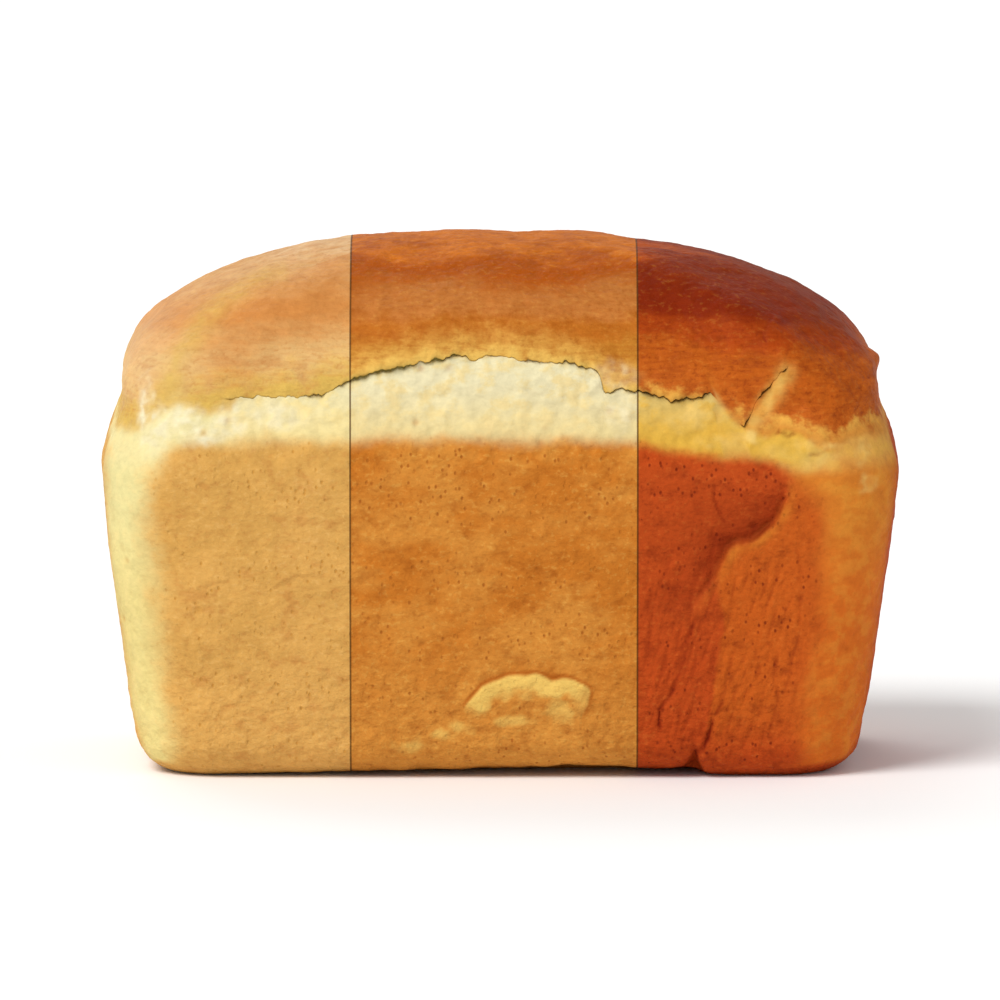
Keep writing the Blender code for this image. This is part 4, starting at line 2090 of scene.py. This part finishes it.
    def form(self) -> Skin:
        """Makes the skin in its plain form, with the tear but with no other mark.

        Returns:
            The skin.
        """
        columns = self.columns()
        walls, wall_notes = self.wall_block(columns)
        crown, crown_notes = self.grid_block(columns, crown=True)
        base, base_notes = self.grid_block(columns, crown=False)
        blocks = (walls, crown, base)
        points = np.concatenate([block.reshape(-1, 3) for block in blocks])
        all_notes = (wall_notes, crown_notes, base_notes)
        notes = {
            name: np.concatenate([part[name].ravel() for part in all_notes])
            for name in wall_notes
        }
        steps = np.linalg.norm(np.diff(walls, axis=0), axis=-1).mean(axis=1)
        heights = np.concatenate([[0.0], np.cumsum(np.maximum(steps, self.least_line))])
        faces, maps = self.join_blocks([block.shape[:2] for block in blocks], heights / heights[-1])
        normals = self.outward(points, faces)
        sides = normals[: walls.shape[0] * walls.shape[1]].reshape(walls.shape)
        first = self.edge_lines + self.wall_lines + self.shoulder_lines
        last = first + len(self.tear.shut_heights)
        share = np.linspace(0.0, 1.0, last - first + 2)[:, None, None]
        sides[first - 1 : last + 1] = sides[first - 1] * (1 - share) + sides[last] * share
        sides /= np.linalg.norm(sides, axis=-1, keepdims=True)
        return Skin(points, faces, maps, normals, notes)

    @staticmethod
    def outward(points: Array, faces: Array) -> Array:
        """Finds which way is out at each point.

        Args:
            points: the points.
            faces: the faces, each by its four points' numbers.

        Returns:
            Each point's outward direction, one unit long.
        """
        corners = points[faces]
        across = np.cross(corners[:, 2] - corners[:, 0], corners[:, 3] - corners[:, 1])
        total = np.stack(
            [
                np.bincount(faces.ravel(), np.repeat(across[:, axis], 4), len(points))
                for axis in range(3)
            ],
            axis=-1,
        )
        return total / np.linalg.norm(total, axis=1, keepdims=True)

    def bake(self) -> bpy.types.Object:
        """Makes the loaf: its form, then its marks, then its crust.

        Returns:
            The loaf's object, in the frame's own place and size.
        """
        skin = self.form()
        for mark in self.marks:
            mark.press(skin, self.noise)
            log.info("  %s", type(mark).__name__)
        skin.move()
        skin.fit(self.low, self.high)
        loaf = bpy.data.objects.new("white_tin_loaf", skin.to_mesh("white_tin_loaf"))
        bpy.context.scene.collection.objects.link(loaf)
        loaf.data.materials.append(self.finish.make())
        return loaf


@dataclass(frozen=True)
class Studio:
    """A plain pale floor, soft white light all round, a soft key light and the camera."""

    floor_size: float = 30.0
    floor_colour: str = "#fbfbfa"
    sky_low: float = 0.85
    sky_high: float = 0.3
    key_strength: float = 2.2
    key_turn: float = -40.0
    key_height: float = 48.0
    key_spread: float = 28.0
    rim_strength: float = 0.7
    rim_turn: float = 200.0
    rim_height: float = 40.0
    rim_spread: float = 40.0
    camera_distance: float = 5.0
    camera_elevation: float = 7.0
    field_width: float = 0.277
    aim_lift: float = -2.0 * MM
    sensor: float = 36.0

    def lay_floor(self) -> bpy.types.Object:
        """Lays the floor that the loaf stands on.

        Returns:
            The floor's object.
        """
        half = self.floor_size / 2
        mesh = bpy.data.meshes.new("pale_floor")
        corners = [(-half, -half, 0.0), (half, -half, 0.0), (half, half, 0.0), (-half, half, 0.0)]
        mesh.from_pydata(corners, [], [(0, 1, 2, 3)])
        floor = bpy.data.objects.new("pale_floor", mesh)
        bpy.context.scene.collection.objects.link(floor)
        material = bpy.data.materials.new("matt_white_paint")
        material.use_nodes = True
        shader = material.node_tree.nodes["Principled BSDF"]
        shader.inputs["Base Color"].default_value = linear(self.floor_colour)
        shader.inputs["Roughness"].default_value = 1.0
        shader.inputs["Specular IOR Level"].default_value = 0.0
        mesh.materials.append(material)
        return floor

    def hang_light(
        self, name: str, strength: float, turn: float, height: float, spread: float
    ) -> None:
        """Hangs a soft light far away.

        Args:
            name: the light's name.
            strength: its strength in watts per square metre.
            turn: how far round it hangs from straight in front, in degrees, to the right.
            height: how high it hangs, in degrees.
            spread: how wide it is, in degrees.
        """
        light = bpy.data.lights.new(name, "SUN")
        light.energy = strength
        light.angle = math.radians(spread)
        holder = bpy.data.objects.new(name, light)
        round_about, up = math.radians(turn), math.radians(height)
        level = math.cos(up)
        towards = Vector((
            math.sin(round_about) * level, -math.cos(round_about) * level, math.sin(up)
        ))
        holder.location = towards
        holder.rotation_euler = towards.to_track_quat("Z", "Y").to_euler()
        bpy.context.scene.collection.objects.link(holder)

    def light_up(self) -> None:
        """Lights the scene."""
        world = bpy.data.worlds.new("white_studio")
        world.use_nodes = True
        tree = world.node_tree
        place = add_node(tree, "ShaderNodeTexCoord", {}).outputs["Generated"]
        up = add_node(tree, "ShaderNodeSeparateXYZ", {0: place}).outputs["Z"]
        strength = add_node(
            tree, "ShaderNodeMapRange",
            {"Value": up, "From Min": 0.0, "To Min": self.sky_low, "To Max": self.sky_high},
        ).outputs["Result"]
        background = tree.nodes["Background"]
        background.inputs["Color"].default_value = (1.0, 1.0, 1.0, 1.0)
        tree.links.new(strength, background.inputs["Strength"])
        bpy.context.scene.world = world
        self.hang_light(
            "key_light", self.key_strength, self.key_turn, self.key_height, self.key_spread
        )
        self.hang_light(
            "rim_light", self.rim_strength, self.rim_turn, self.rim_height, self.rim_spread
        )

    def set_camera(self, aim: Vector) -> None:
        """Sets up the camera in front of the loaf, a little above it.

        Args:
            aim: the point that it looks at, before the small lift.
        """
        camera = bpy.data.cameras.new("camera")
        camera.sensor_width = self.sensor
        camera.lens = self.sensor * self.camera_distance / self.field_width
        camera.clip_end = 100.0
        holder = bpy.data.objects.new("camera", camera)
        tilt = math.radians(self.camera_elevation)
        away = Vector((0.0, -math.cos(tilt), math.sin(tilt))) * self.camera_distance
        holder.location = aim + away + Vector((0.0, 0.0, self.aim_lift))
        holder.rotation_euler = (-away).to_track_quat("-Z", "Y").to_euler()
        bpy.context.scene.collection.objects.link(holder)
        bpy.context.scene.camera = holder


def main() -> None:
    """Bakes the loaf and sets it in the studio."""
    logging.basicConfig(level=logging.INFO, format="%(message)s")
    bpy.context.scene.view_settings.view_transform = "Standard"
    low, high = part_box(NODE)
    loaf = TinLoaf(low, high).bake()
    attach(loaf, BODY)
    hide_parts(NODE)
    log.info("%s: %d faces", loaf.name, len(loaf.data.polygons))
    studio = Studio()
    floor = studio.lay_floor()
    aim = (low + high) / 2
    studio.light_up()
    studio.set_camera(aim)
    log.info("%s: studio floor, lights and camera are set", floor.name)


if __name__ == "__main__":
    main()
